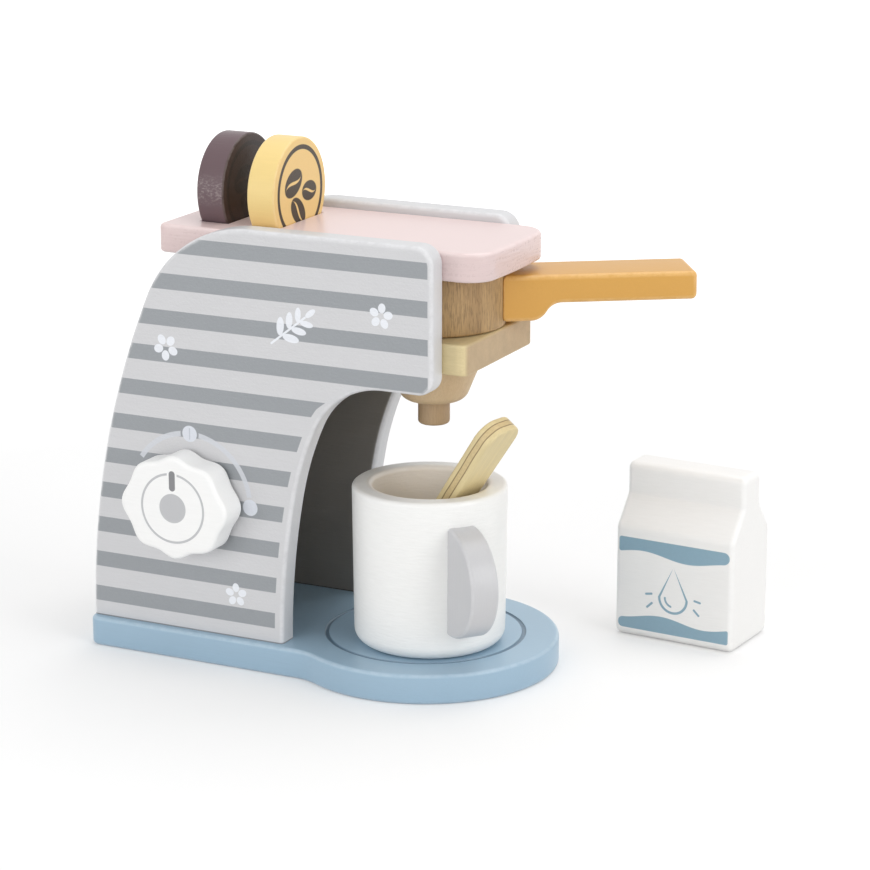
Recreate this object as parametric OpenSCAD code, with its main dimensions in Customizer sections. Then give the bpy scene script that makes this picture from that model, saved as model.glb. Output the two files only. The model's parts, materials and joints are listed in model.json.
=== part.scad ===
// Wooden toy coffee maker: two arched side panels on a blue base with a round cup rest, a pink top
// board with two coffee discs in slots, a brewing head with a swinging filter, a knob, and the cup,
// stirrer and milk carton that belong to it. Millimetres. X points to the front, Y to the left,
// Z up; the origin is on the underside of the base, below the centre of the cup rest.

/* [Base] */
// Thickness of the base board
base_t = 11; // [9:0.5:16]
// Radius of the round cup rest at the front
rest_r = 48.6; // [46:0.2:54]
// How far the rear of the base stands out past the panels at each side
base_lip = 3.25; // [2:0.25:6]
// How far the base stands out behind the panels
back_lip = 0.5; // [0.3:0.1:6]
// Radius of the hollow fillet between the rear of the base and the cup rest
base_fillet_r = 20; // [12:1:26]
// Radius of the rear corners of the base
base_corner_r = 4; // [1:0.5:6]
// Radius of the ring that marks where the cup stands
ring_r = 36.7; // [34:0.5:40]
// Width of the ring's groove
ring_w = 1.6; // [1:0.2:3]
// Depth of the ring's groove
ring_d = 0.6; // [0.4:0.1:1.2]

/* [Side panels] */
// Thickness of each side panel
panel_t = 9; // [8:0.5:12]
// Clear width between the two panels
gap_w = 55.5; // [53:0.5:60]
// Height of the panels above the base
panel_h = 150.5; // [146:0.5:158]
// Distance from the centre of the cup rest forward to the panels' front edge
panel_front = 20.6; // [18:0.2:24]
// Distance from the centre of the cup rest back to the panels' rear edge
panel_back = 118.6; // [114:0.2:122]
// Distance from the centre of the cup rest back to the foot of the arch
arch_foot = 39.1; // [36:0.1:42]
// Radius of the rear edge's long curve
back_arc_r = 309; // [295:1:325]
// Radius of the top rear corner
top_back_r = 46; // [40:1:50]
// Radius of the top front corner
top_front_r = 7; // [4:0.5:9]
// Radius of the chin's front corner
chin_r = 6; // [4:0.5:8]
// How far the chin hangs below the spout block
chin_drop = 6.2; // [4:0.2:8]
// Radius of the lowest of the arch's three curves
arch_low_r = 290; // [270:5:320]
// Radius of the arch's middle curve
arch_mid_r = 116; // [100:2:130]
// Radius of the arch's upper corner
arch_top_r = 29; // [24:0.5:34]
// Lean of the arch's edge where the middle curve ends
arch_mid_lean = 24.5; // [20:0.5:30]

/* [Back board] */
// Thickness of the board that closes the niche
back_board_t = 8; // [7:0.5:10]
// Distance from the panels' rear edge forward to the back board's foot
back_board_in = 6.5; // [5:0.5:10]
// Lean of the back board from upright
back_board_lean = 13.5; // [13:0.1:14]

/* [Top board] */
// Thickness of the top board
board_t = 10.3; // [9:0.1:12.5]
// How far the panels stand above the top board
board_drop = 3; // [2:0.2:5]
// How far the top board stands out past the panels' front edge
board_out = 15.7; // [12:0.1:18]
// Length of the top board
board_len = 129.4; // [127:0.2:134]
// Radius of the top board's front corners
board_front_r = 10.3; // [6:0.1:14]
// How far the top board's front edge bows out
board_bow = 1.3; // [0.5:0.1:3]
// Radius of the top board's rear corners
board_back_r = 3.5; // [2:0.5:8]

/* [Coffee discs] */
// Diameter of a coffee disc
disc_d = 39.2; // [37:0.2:41.6]
// Thickness of a coffee disc
disc_t = 11; // [9:0.5:12.5]
// How deep a disc stands in its slot
disc_sink = 9.1; // [7.5:0.1:9.6]
// Distance from the rear end of the top board to the first disc's middle
disc_in = 17.3; // [16:0.1:20]
// Distance between the middles of the two discs
disc_pitch = 20.5; // [19:0.5:23]
// Clearance around a disc in its slot
disc_gap = 0.3; // [0.2:0.05:0.5]

/* [Brewing head] */
// Distance from the panels' front edge back to the axis of the filter and the spout
head_in = 17.2; // [16:0.1:18]
// Thickness of the spout block
block_t = 11; // [10.5:0.5:14]
// How far the spout block stands out past the panels' front edge
block_out = 8.6; // [7:0.1:11]
// Length of the spout block
block_len = 50; // [46:1:54]
// Radius of the spout block's front corners
block_corner_r = 2.5; // [1:0.5:4]
// Radius of the dome under the block, where it meets the block
dome_r = 18; // [16:0.5:20]
// Height of the dome
dome_h = 16.9; // [15:0.1:20]
// How much narrower the dome gets before it rounds off
dome_taper = 3.4; // [2:0.2:5]
// Radius that rounds the dome's lower edge
dome_round = 9; // [6:0.5:10]
// Radius of the spout dowel
spout_r = 5.7; // [5:0.1:6.5]
// How far the spout sticks out below the dome
spout_len = 8.7; // [6:0.1:12]
// Radius that rounds the spout's lower edge
spout_round = 1.2; // [0.6:0.2:2]
// How deep the spout dowel is let into the block
spout_tenon = 5; // [3:0.5:5]

/* [Filter] */
// Radius of the filter's round body
filter_r = 25.5; // [23.5:0.1:26.5]
// Height of the filter's round body
filter_h = 21.2; // [19.5:0.1:23]
// Clearance above and below the filter
filter_gap = 0.3; // [0.2:0.05:0.5]
// Radius of the pin that the filter turns on
pivot_r = 4; // [3:0.25:5]
// Radial clearance between the filter and its pin
pivot_gap = 0.08; // [0.03:0.01:0.1]
// How deep the pin is let into the block
pivot_low = 4.5; // [3:0.5:5]
// How deep the pin is let into the top board
pivot_high = 5; // [4:0.5:7]
// Angle of the handle to the front, positive to the left
handle_turn = 33.5; // [-30:0.5:34]
// Distance from the filter's axis to the end of the handle
handle_reach = 92.2; // [82:0.2:100]
// Width of the handle
handle_w = 24; // [20:0.5:25]
// Height of the handle's grip
grip_h = 10.3; // [8:0.1:12]
// Height of the handle's root
root_h = 16.6; // [14:0.1:17.6]
// Distance from the top of the filter down to the top of the handle
handle_drop = 3; // [1:0.1:3.2]
// Distance from the filter's axis to where the root starts to curve up
root_end = 33; // [30:0.5:36]
// Length of the curve from the root to the grip
root_curve = 11; // [9:0.5:14]
// Radius of the dowel that joins the handle and the filter
joint_r = 3.5; // [2.5:0.25:4]
// How deep that dowel is let into each of the two pieces
joint_depth = 10; // [8:0.5:12]

/* [Knob] */
// Distance from the panels' rear edge forward to the knob's axis
knob_in = 42.6; // [40:0.2:46]
// Height of the knob's axis above the base
knob_h = 49.6; // [46:0.2:56]
// Width of the knob, without the scallops
knob_w = 42; // [38:0.2:44]
// Height of the knob, without the scallops
knob_tall = 36.8; // [34:0.2:42]
// Depth of the scallops
knob_wave = 0.8; // [0.4:0.1:1.2]
// Number of scallops
knob_lobes = 8; // [5:1:10]
// Thickness of the knob
knob_t = 12; // [10:0.5:15]
// Thickness of the felt washer behind the knob
washer_t = 0.8; // [0.5:0.1:1.2]
// Radius of the felt washer
washer_r = 11; // [9:0.5:13]
// Running clearance at the faces of the washer and the cap
knob_gap = 0.2; // [0.1:0.05:0.4]
// Radius of the knob's axle
axle_r = 4; // [3:0.25:5]
// Radial clearance of the axle in the panel
axle_gap = 0.08; // [0.03:0.01:0.1]
// How deep the axle is let into the knob
axle_depth = 9; // [7:0.5:9]
// Radius of the cap that keeps the axle in the panel
cap_r = 8; // [7:0.5:10]
// Thickness of that cap
cap_t = 4; // [3:0.5:6]

/* [Cup] */
// Radius of the cup at its rim
cup_r = 27.85; // [26:0.05:29]
// How much narrower the cup is at its foot
cup_taper = 0.6; // [0.2:0.1:1.2]
// Height of the cup
cup_h = 58.5; // [55:0.5:62]
// Thickness of the cup's wall at the rim
cup_wall = 7.3; // [6.5:0.1:8]
// Thickness of the cup's floor
cup_floor = 9.5; // [7:0.5:12]
// Radius that rounds the cup's foot
cup_foot_r = 5; // [3:0.5:6]
// Radius that rounds the cup's rim
cup_rim_r = 1.6; // [1:0.2:2.4]
// Distance of the cup's axis in front of the centre of the rest
cup_x = 5.1; // [0:0.1:8]
// Distance of the cup's axis to the left of the centre of the rest
cup_y = -6.85; // [-8:0.05:2]
// Clearance under the cup
cup_gap = 0.2; // [0.1:0.05:0.3]
// Radius of the cup's half-round handle
ear_r = 19.8; // [17:0.2:22]
// Thickness of the cup's handle
ear_t = 10.6; // [8:0.2:12]
// Height of the handle's middle above the cup's foot
ear_z = 29.6; // [26:0.2:32]
// Direction of the cup's handle, from the front to the left
ear_turn = -40; // [-60:1:-20]
// Radius of the dowels that hold the cup's handle
ear_dowel_r = 2.5; // [2:0.25:3]
// Distance from the handle's middle to each dowel
ear_dowel_z = 8; // [6:0.5:10]
// How deep each dowel is let into the cup
ear_dowel_in = 4; // [3:0.5:4.5]
// How deep each dowel is let into the handle
ear_dowel_out = 9; // [7:0.5:11]

/* [Stirrer] */
// Width of the stirrer at its upper end
spoon_top_w = 18; // [16:0.5:20]
// Width of the stirrer at its foot
spoon_foot_w = 12.5; // [11:0.5:15]
// Thickness of the stirrer
spoon_t = 6.4; // [5:0.2:8]
// Length of the stirrer
spoon_len = 89; // [80:1:96]
// Radius of the stirrer's upper corners
spoon_top_r = 7; // [5:0.5:7.5]
// Radius of the stirrer's lower corners
spoon_foot_r = 4.5; // [3:0.5:5]
// Direction in which the stirrer leans, from the front to the left
spoon_turn = -11.4; // [-16:0.2:0]
// Clearance between the stirrer and the cup
spoon_gap = 0.3; // [0.2:0.05:0.5]

/* [Milk carton] */
// Length of the carton
carton_l = 48.1; // [44:0.1:52]
// Depth of the carton
carton_d = 31.3; // [29:0.1:34]
// Height of the carton's upright walls
carton_wall_h = 42.2; // [38:0.1:46]
// Height of the two sloping shoulders
carton_slope_h = 10.8; // [9:0.1:13]
// Height of the ridge above the shoulders
carton_ridge_h = 11.8; // [9:0.1:14]
// Thickness of the ridge
carton_ridge_t = 13.6; // [11:0.5:16]
// Distance from the centre of the cup rest forward to the carton's middle
carton_x = 76; // [70:1:90]
// Distance from the centre of the cup rest to the left to the carton's middle
carton_y = 70.4; // [64:0.2:84]
// Angle of the carton to the front
carton_turn = -4.4; // [-10:0.2:10]

/* [Fasteners] */
// Radius of a dowel between the boards
dowel_r = 3; // [2.5:0.25:3.5]
// How deep a dowel is let into a side panel
dowel_in = 6; // [5:0.5:7]
// How deep a dowel is let into the board that it holds
dowel_out = 12; // [9:0.5:14]
// Radius of a base screw's shank
screw_r = 2; // [1.5:0.25:2.5]
// Radius of a base screw's head
screw_head_r = 4; // [3.25:0.25:4.25]
// Height of a base screw's head
screw_head_h = 2.8; // [2:0.2:3.6]
// How deep the heads are sunk below the underside of the base
screw_sink = 0.8; // [0.5:0.1:1.5]
// How deep a screw is driven into the board above the base
screw_bite = 20; // [14:1:28]
// Distance from the ends of a panel's foot to its screws
screw_in = 13; // [10:0.5:18]

/* [Hidden] */
$fn = 96;
eps = 0.01;
wide = 400;

// Heights
base_top = base_t;
panel_top = base_top + panel_h;
board_top = panel_top - board_drop;
board_low = board_top - board_t;
filter_top = board_low - filter_gap;
filter_low = filter_top - filter_h;
block_top = filter_low - filter_gap;
block_low = block_top - block_t;
dome_low = block_low - dome_h;
spout_low = dome_low - spout_len;
chin_z = block_low - chin_drop;
// Widths
half_gap = gap_w / 2;
half_body = half_gap + panel_t;
half_base = half_body + base_lip;
// Lengths
base_back = -panel_back - back_lip;
board_front = panel_front + board_out;
board_back = board_front - board_len;
block_front = panel_front + block_out;
block_back = block_front - block_len;
head_x = panel_front - head_in;
// Coffee discs
disc_r = disc_d / 2;
disc_z = board_top - disc_sink + disc_r;
dark_x = board_back + disc_in;
yellow_x = dark_x + disc_pitch;
slot_half = sqrt(pow(disc_r + disc_gap, 2) - pow(disc_z - board_top, 2));
// Filter handle
handle_top = filter_top - handle_drop;
grip_low = handle_top - grip_h;
root_low = handle_top - root_h;
root_step = root_h - grip_h;
root_r = (pow(root_curve, 2) + pow(root_step, 2)) / (4 * root_step);
root_sweep = asin(root_curve / (2 * root_r));
joint_z = handle_top - grip_h / 2;
// Knob
knob_x = -panel_back + knob_in;
knob_z = base_top + knob_h;
knob_back = -half_body - washer_t - knob_gap;
cap_front = -half_gap + knob_gap;
// Cup and stirrer
cup_low = base_top + cup_gap;
cup_top = cup_low + cup_h;
cup_bore = cup_r - cup_wall;
cup_inner_floor = cup_low + cup_floor;
spoon_deep = cup_h - cup_floor - spoon_gap;
spoon_reach = cup_bore - spoon_gap;
lean_reach = sqrt(pow(spoon_reach, 2) - pow(spoon_top_w / 2, 2));
spoon_lean = lean_at(35, 8);

// The lean at which the stirrer touches the rim on one side and the foot of the wall on the other,
// found by repeating the estimate a
function lean_at(a, n) = n == 0 ? a
    : lean_at(atan((lean_reach + spoon_reach - spoon_t * cos(a)) / spoon_deep), n - 1);

// Points of an arc about c, from angle a to angle b
function arc(c, r, a, b, n = 16) =
    [for (i = [0:n]) c + r * [cos(a + (b - a) * i / n), sin(a + (b - a) * i / n)]];

// Where the centre of a small circle lies that touches the line z = line_z and, from inside,
// the circle of radius big_r about big_c
function touch_x(big_c, big_r, small_r, line_z) =
    big_c[0] - sqrt(pow(big_r - small_r, 2) - pow(line_z - small_r - big_c[1], 2));

// What lies outside a circle in the corner between two directions; cutting it away rounds the corner
module corner_waste(c, r, a, b) {
    mid = (a + b) / 2;
    reach = 2 * r;
    far = reach / cos((b - a) / 2);
    difference() {
        polygon([c, c + reach * [cos(a), sin(a)], c + far * [cos(mid), sin(mid)],
            c + reach * [cos(b), sin(b)]]);
        translate(c) circle(r, $fn = 192);
    }
}

// A piece of stock from low to high in z
module slab(low, high) {
    translate([0, 0, low]) linear_extrude(high - low) children();
}

// Round stock along the direction dir, starting at p
module rod(p, dir, r, h) {
    translate(p) rotate([0, acos(dir[2] / norm(dir)), atan2(dir[1], dir[0])]) cylinder(r = r, h = h);
}

// ---- Side panels ----
chin_h = chin_z - base_top;
back_c = [-panel_back + back_arc_r, 0];
top_back_c = [touch_x(back_c, back_arc_r, top_back_r, panel_h), panel_h - top_back_r];
// Lean of the arch's edge where its lowest curve ends, so that the curves add up to the chin's height
arch_low_lean = asin((chin_h - arch_mid_r * sin(arch_mid_lean) - arch_top_r * (1 - sin(arch_mid_lean)))
    / (arch_low_r - arch_mid_r));
arch_low_c = [arch_low_r - arch_foot, 0];
arch_mid_c = arch_low_c + (arch_low_r - arch_mid_r) * [-cos(arch_low_lean), sin(arch_low_lean)];
arch_top_c = arch_mid_c + (arch_mid_r - arch_top_r) * [-cos(arch_mid_lean), sin(arch_mid_lean)];

// Opening under the chin, seen from the side: three curves that run into each other
module arch_plan() {
    polygon(concat([[panel_front + 1, chin_h]],
        arc(arch_top_c, arch_top_r, 90, 180 - arch_mid_lean, 12),
        arc(arch_mid_c, arch_mid_r, 180 - arch_mid_lean, 180 - arch_low_lean, 12),
        arc(arch_low_c, arch_low_r, 180 - arch_low_lean, 180, 12),
        [[-arch_foot, -1], [panel_front + 1, -1]]));
}

// Outline of a side panel, seen from the side, with the base's top at 0
module panel_plan() {
    lean = atan2(top_back_c[1] - back_c[1], top_back_c[0] - back_c[0]);
    difference() {
        intersection() {
            translate(back_c) circle(back_arc_r, $fn = 720);
            translate([-wide / 2, 0]) square([wide / 2 + panel_front, panel_h]);
        }
        corner_waste(top_back_c, top_back_r, 90, lean);
        corner_waste([panel_front - top_front_r, panel_h - top_front_r], top_front_r, 0, 90);
        corner_waste([panel_front - chin_r, chin_h + chin_r], chin_r, 270, 360);
        arch_plan();
    }
}

// A panel whose left face lies at y
module side_panel(y) {
    difference() {
        translate([0, y, base_top]) rotate([90, 0, 0]) linear_extrude(panel_t) panel_plan();
        dowel_set();
        screw_set();
    }
}

module knob_side_panel() {
    color([0.82, 0.82, 0.83]) difference() {
        side_panel(-half_gap);
        rod([knob_x, -half_body - eps, knob_z], [0, 1, 0], axle_r + axle_gap, panel_t + 2 * eps);
    }
}

module plain_side_panel() {
    color([0.82, 0.82, 0.83]) side_panel(half_body);
}

// ---- Base ----
// Outline of the base from above: the cup rest, a hollow fillet on each side and the rear part
module base_plan() {
    reach = rest_r + base_fillet_r;
    drop = half_base + base_fillet_r;
    hollow_x = -sqrt(pow(reach, 2) - pow(drop, 2));
    meet = atan2(drop, -hollow_x);
    rear = [base_back + base_corner_r, half_base - base_corner_r];
    polygon(concat(
        arc([rear[0], -rear[1]], base_corner_r, 180, 270),
        arc([hollow_x, -drop], base_fillet_r, 90, meet, 12),
        arc([0, 0], rest_r, meet - 180, 180 - meet, 128),
        arc([hollow_x, drop], base_fillet_r, -meet, -90, 12),
        arc(rear, base_corner_r, 90, 180)));
}

module base_board() {
    color([0.63, 0.75, 0.83]) difference() {
        slab(0, base_top) base_plan();
        translate([0, 0, base_top - ring_d]) difference() {
            cylinder(r = ring_r, h = ring_d + eps, $fn = 192);
            translate([0, 0, -eps]) cylinder(r = ring_r - ring_w, h = ring_d + 3 * eps, $fn = 192);
        }
        screw_set();
    }
}

// ---- Boards between the panels ----
// Middle of the back board's thickness at the height z
function back_board_x(z) = -panel_back + back_board_in + back_board_t / (2 * cos(back_board_lean))
    + (z - base_top) * tan(back_board_lean);

module back_board() {
    half_t = back_board_t / (2 * cos(back_board_lean));
    low_x = back_board_x(base_top);
    high_x = back_board_x(board_low);
    color([0.55, 0.55, 0.55]) difference() {
        translate([0, half_gap, 0]) rotate([90, 0, 0]) linear_extrude(gap_w)
            polygon([[low_x - half_t, base_top], [low_x + half_t, base_top],
                [high_x + half_t, board_low], [high_x - half_t, board_low]]);
        dowel_set();
    }
}

module disc_slot(x) {
    translate([x - disc_t / 2 - disc_gap, -slot_half, board_low - eps])
        cube([disc_t + 2 * disc_gap, 2 * slot_half, board_t + 2 * eps]);
}

// Outline of the top board from above, with the bow of its front edge
module top_board_plan() {
    bow_r = (pow(half_gap, 2) + pow(board_bow, 2)) / (2 * board_bow);
    bow_x = board_front - bow_r;
    turn = asin((half_gap - board_front_r) / (bow_r - board_front_r));
    tip = [bow_x + (bow_r - board_front_r) * cos(turn), half_gap - board_front_r];
    rear = [board_back + board_back_r, half_gap - board_back_r];
    polygon(concat(
        arc([rear[0], -rear[1]], board_back_r, 180, 270),
        arc([tip[0], -tip[1]], board_front_r, 270, 360 - turn),
        arc([bow_x, 0], bow_r, -turn, turn),
        arc(tip, board_front_r, turn, 90),
        arc(rear, board_back_r, 90, 180)));
}

module top_board() {
    color([0.95, 0.86, 0.86]) difference() {
        slab(board_low, board_top) top_board_plan();
        disc_slot(dark_x);
        disc_slot(yellow_x);
        pivot_pin();
        dowel_set();
    }
}

// ---- Brewing head ----
// Outline of the block from above, with rounded front corners
module block_plan() {
    corner = [block_front - block_corner_r, half_gap - block_corner_r];
    polygon(concat(
        [[block_back, half_gap], [block_back, -half_gap]],
        arc([corner[0], -corner[1]], block_corner_r, 270, 360),
        arc(corner, block_corner_r, 0, 90)));
}

module spout_block() {
    color([0.85, 0.78, 0.6]) difference() {
        slab(block_low, block_top) block_plan();
        spout_dowel();
        pivot_pin();
        dowel_set();
    }
}

module spout_dome() {
    side_r = dome_r - dome_taper;
    round_c = [side_r - dome_round, dome_round];
    color([0.72, 0.6, 0.46]) difference() {
        translate([head_x, 0, dome_low]) rotate_extrude()
            polygon(concat([[0, 0]], arc(round_c, dome_round, 270, 360), [[dome_r, dome_h], [0, dome_h]]));
        spout_dowel();
    }
}

module spout_dowel() {
    full = block_low + spout_tenon - spout_low;
    round_c = [spout_r - spout_round, spout_round];
    translate([head_x, 0, spout_low]) rotate_extrude()
        polygon(concat([[0, 0]], arc(round_c, spout_round, 270, 360, 8), [[spout_r, full], [0, full]]));
}

module spout() {
    color([0.66, 0.54, 0.4]) spout_dowel();
}

module pivot_pin() {
    low = block_top - pivot_low;
    translate([head_x, 0, low]) cylinder(r = pivot_r, h = board_low + pivot_high - low);
}

module filter_pivot() {
    color([0.8, 0.7, 0.5]) pivot_pin();
}

// ---- Filter ----
// Everything that turns with the filter is drawn along X and then turned about the pin
module on_filter() {
    translate([head_x, 0, 0]) rotate([0, 0, handle_turn]) children();
}

module joint_dowel() {
    rod([filter_r - joint_depth, 0, joint_z], [1, 0, 0], joint_r, 2 * joint_depth);
}

module filter_body() {
    color([0.62, 0.5, 0.37]) on_filter() difference() {
        translate([0, 0, filter_low]) cylinder(r = filter_r, h = filter_h, $fn = 144);
        translate([0, 0, filter_low - eps]) cylinder(r = pivot_r + pivot_gap, h = filter_h + 2 * eps);
        joint_dowel();
    }
}

// Side view of the handle: a deep root that curves up into the grip
module handle_plan() {
    curve_end = root_end + root_curve;
    polygon(concat([[0, handle_top], [0, root_low]],
        arc([root_end, root_low + root_r], root_r, 270, 270 + root_sweep, 10),
        arc([curve_end, grip_low - root_r], root_r, 90 + root_sweep, 90, 10),
        [[handle_reach, grip_low], [handle_reach, handle_top]]));
}

module filter_handle() {
    color([0.9, 0.68, 0.36]) on_filter() difference() {
        translate([0, handle_w / 2, 0]) rotate([90, 0, 0]) linear_extrude(handle_w) handle_plan();
        translate([0, 0, filter_low - eps]) cylinder(r = filter_r, h = filter_h + 2 * eps, $fn = 144);
        joint_dowel();
    }
}

module filter_dowel() {
    color([0.85, 0.75, 0.55]) on_filter() joint_dowel();
}

// ---- Coffee discs ----
module coffee_disc(x) {
    rod([x - disc_t / 2, 0, disc_z], [1, 0, 0], disc_r, disc_t);
}

module dark_disc() {
    color([0.36, 0.28, 0.28]) coffee_disc(dark_x);
}

module yellow_disc() {
    color([0.95, 0.83, 0.55]) coffee_disc(yellow_x);
}

// ---- Knob ----
module knob_plan() {
    steps = knob_lobes * 16;
    polygon([for (i = [0:steps - 1])
        let (a = 360 * i / steps,
            oval = 1 / norm([2 * cos(a) / knob_w, 2 * sin(a) / knob_tall]),
            r = oval + knob_wave * cos(knob_lobes * a))
        r * [cos(a), sin(a)]]);
}

module axle_bar() {
    start = knob_back - axle_depth;
    rod([knob_x, start, knob_z], [0, 1, 0], axle_r, cap_front + cap_t - start);
}

module knob() {
    color([0.96, 0.96, 0.95]) difference() {
        translate([knob_x, knob_back, knob_z]) rotate([90, 0, 0]) linear_extrude(knob_t) knob_plan();
        axle_bar();
    }
}

module knob_axle() {
    color([0.85, 0.75, 0.55]) axle_bar();
}

// Felt washer on the panel, around the axle
module knob_washer() {
    color([0.9, 0.9, 0.88]) difference() {
        rod([knob_x, -half_body - washer_t, knob_z], [0, 1, 0], washer_r, washer_t);
        rod([knob_x, -half_body - washer_t - eps, knob_z], [0, 1, 0], axle_r + 2 * axle_gap,
            washer_t + 2 * eps);
    }
}

// Cap glued on the axle's inner end
module knob_cap() {
    color([0.85, 0.75, 0.55]) difference() {
        rod([knob_x, cap_front, knob_z], [0, 1, 0], cap_r, cap_t);
        axle_bar();
    }
}

// ---- Cup ----
module cup_outside() {
    foot_r = cup_r - cup_taper;
    translate([cup_x, cup_y, cup_low]) rotate_extrude($fn = 144)
        polygon(concat([[0, 0]], arc([foot_r - cup_foot_r, cup_foot_r], cup_foot_r, 270, 360, 12),
            arc([cup_r - cup_rim_r, cup_h - cup_rim_r], cup_rim_r, 0, 90, 8), [[0, cup_h]]));
}

// Hollow of the cup, with the rounded inner edge of its rim
module cup_inside() {
    deep = cup_h - cup_floor;
    translate([cup_x, cup_y, cup_inner_floor]) rotate_extrude($fn = 144)
        polygon(concat([[0, 0], [cup_bore, 0]],
            arc([cup_bore + cup_rim_r, deep - cup_rim_r], cup_rim_r, 180, 90, 8),
            [[cup_bore + cup_rim_r, deep + 1], [0, deep + 1]]));
}

// Everything on the side of the cup is drawn along X and then turned to the handle's direction
module on_ear() {
    translate([cup_x, cup_y, cup_low + ear_z]) rotate([0, 0, ear_turn]) children();
}

module ear_dowels() {
    on_ear() for (side = [-1, 1])
        rod([cup_r - ear_dowel_in, 0, side * ear_dowel_z], [1, 0, 0], ear_dowel_r,
            ear_dowel_in + ear_dowel_out);
}

module cup_body() {
    color([0.95, 0.94, 0.92]) difference() {
        cup_outside();
        cup_inside();
        ear_dowels();
    }
}

module cup_handle() {
    color([0.78, 0.78, 0.79]) difference() {
        on_ear() translate([cup_r, ear_t / 2, 0]) rotate([90, 0, 0]) cylinder(r = ear_r, h = ear_t);
        cup_outside();
        translate([cup_x, cup_y, cup_low - 1]) cylinder(r = cup_r - cup_wall / 2, h = cup_h + 2);
        ear_dowels();
    }
}

module cup_dowels() {
    color([0.85, 0.75, 0.55]) ear_dowels();
}

// ---- Stirrer: a flat stick that leans on the rim and stands on the floor of the cup ----
module stirrer_plan() {
    top = spoon_top_w / 2 - spoon_top_r;
    foot = spoon_foot_w / 2 - spoon_foot_r;
    polygon(concat(arc([spoon_len - spoon_top_r, top], spoon_top_r, 0, 90),
        arc([spoon_foot_r, foot], spoon_foot_r, 90, 180, 8),
        arc([spoon_foot_r, -foot], spoon_foot_r, 180, 270, 8),
        arc([spoon_len - spoon_top_r, -top], spoon_top_r, 270, 360)));
}

module stirrer() {
    // Middle of the stick's under face where it crosses the rim, and the length below that
    rim = [cup_x + lean_reach * cos(spoon_turn), cup_y + lean_reach * sin(spoon_turn), cup_top];
    below = spoon_deep / cos(spoon_lean);
    color([0.9, 0.82, 0.62]) translate(rim) rotate([0, 0, spoon_turn]) rotate([0, spoon_lean, 0])
        translate([0, 0, -below]) rotate([0, -90, 0]) linear_extrude(spoon_t) stirrer_plan();
}

// ---- Milk carton ----
module milk_carton() {
    shoulder = (carton_d - carton_ridge_t) / 2;
    slope_top = carton_wall_h + carton_slope_h;
    ridge_top = slope_top + carton_ridge_h;
    color([0.93, 0.92, 0.91]) translate([carton_x, carton_y, 0]) rotate([0, 0, carton_turn])
        translate([-carton_l / 2, -carton_d / 2, 0]) rotate([90, 0, 90]) linear_extrude(carton_l)
        polygon([[0, 0], [carton_d, 0], [carton_d, carton_wall_h], [carton_d - shoulder, slope_top],
            [carton_d - shoulder, ridge_top], [shoulder, ridge_top], [shoulder, slope_top],
            [0, carton_wall_h]]);
}

// ---- Fasteners ----
board_dowel_z = (board_low + board_top) / 2;
block_dowel_z = (block_low + block_top) / 2;
// Dowels in the top board lie between the front slot and the pivot, and in front of the pivot
board_dowel_x = [yellow_x + disc_pitch, head_x + pivot_r + dowel_r + dowel_out / 2];
// Dowels in the block lie to each side of the spout
block_dowel_x = [head_x - spout_r - 3 * dowel_r, head_x + spout_r + 2 * dowel_r];
back_dowel_z = [base_top + board_low / 4, base_top + board_low / 2, base_top + board_low * 3 / 4];

// A dowel through the seam between a panel and the board inside it, on both sides
module seam_dowel(x, z) {
    for (side = [-1, 1])
        rod([x, side * (half_gap + dowel_in), z], [0, -side, 0], dowel_r, dowel_in + dowel_out);
}

module dowel_set() {
    for (x = board_dowel_x) seam_dowel(x, board_dowel_z);
    for (x = block_dowel_x) seam_dowel(x, block_dowel_z);
    for (z = back_dowel_z) seam_dowel(back_board_x(z), z);
}

module panel_dowels() {
    color([0.85, 0.75, 0.55]) dowel_set();
}

// A countersunk screw from below, with the space under its head
module screw_at(x, y) {
    translate([x, y, screw_sink]) {
        cylinder(r1 = screw_head_r, r2 = screw_r, h = screw_head_h);
        cylinder(r = screw_r, h = base_top + screw_bite - screw_sink);
    }
}

// Where the screws stand: two under each panel's foot
screw_places = [for (x = [-panel_back + screw_in, -arch_foot - screw_in], side = [-1, 1])
    [x, side * (half_gap + panel_t / 2)]];

module screw_row() {
    for (p = screw_places) screw_at(p[0], p[1]);
}

// The screws, and the open space below each head
module screw_set() {
    screw_row();
    for (p = screw_places) translate([p[0], p[1], -eps]) cylinder(r = screw_head_r, h = screw_sink + eps);
}

module base_screws() {
    color([0.75, 0.75, 0.77]) screw_row();
}

base_board();
knob_side_panel();
plain_side_panel();
back_board();
top_board();
spout_block();
spout_dome();
spout();
filter_pivot();
filter_body();
filter_handle();
filter_dowel();
dark_disc();
yellow_disc();
knob();
knob_axle();
knob_washer();
knob_cap();
cup_body();
cup_handle();
cup_dowels();
stirrer();
milk_carton();
panel_dowels();
base_screws();
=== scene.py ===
"""Looks of a wooden toy coffee maker with its cup, stirrer, coffee discs and milk carton.

Every shape is a closed surface worked out with numpy, and every finish is a node material. Lengths
are millimetres here and become metres when a mesh is written. X points to the front, Y to the left
and Z up; the origin lies on the underside of the base, below the middle of the cup rest.
"""

import json
import logging
import math
from dataclasses import dataclass, field
from enum import Enum
from functools import reduce

import bmesh
import bpy
import numpy as np
from mathutils import Matrix, Vector
from mathutils.geometry import delaunay_2d_cdt

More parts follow.
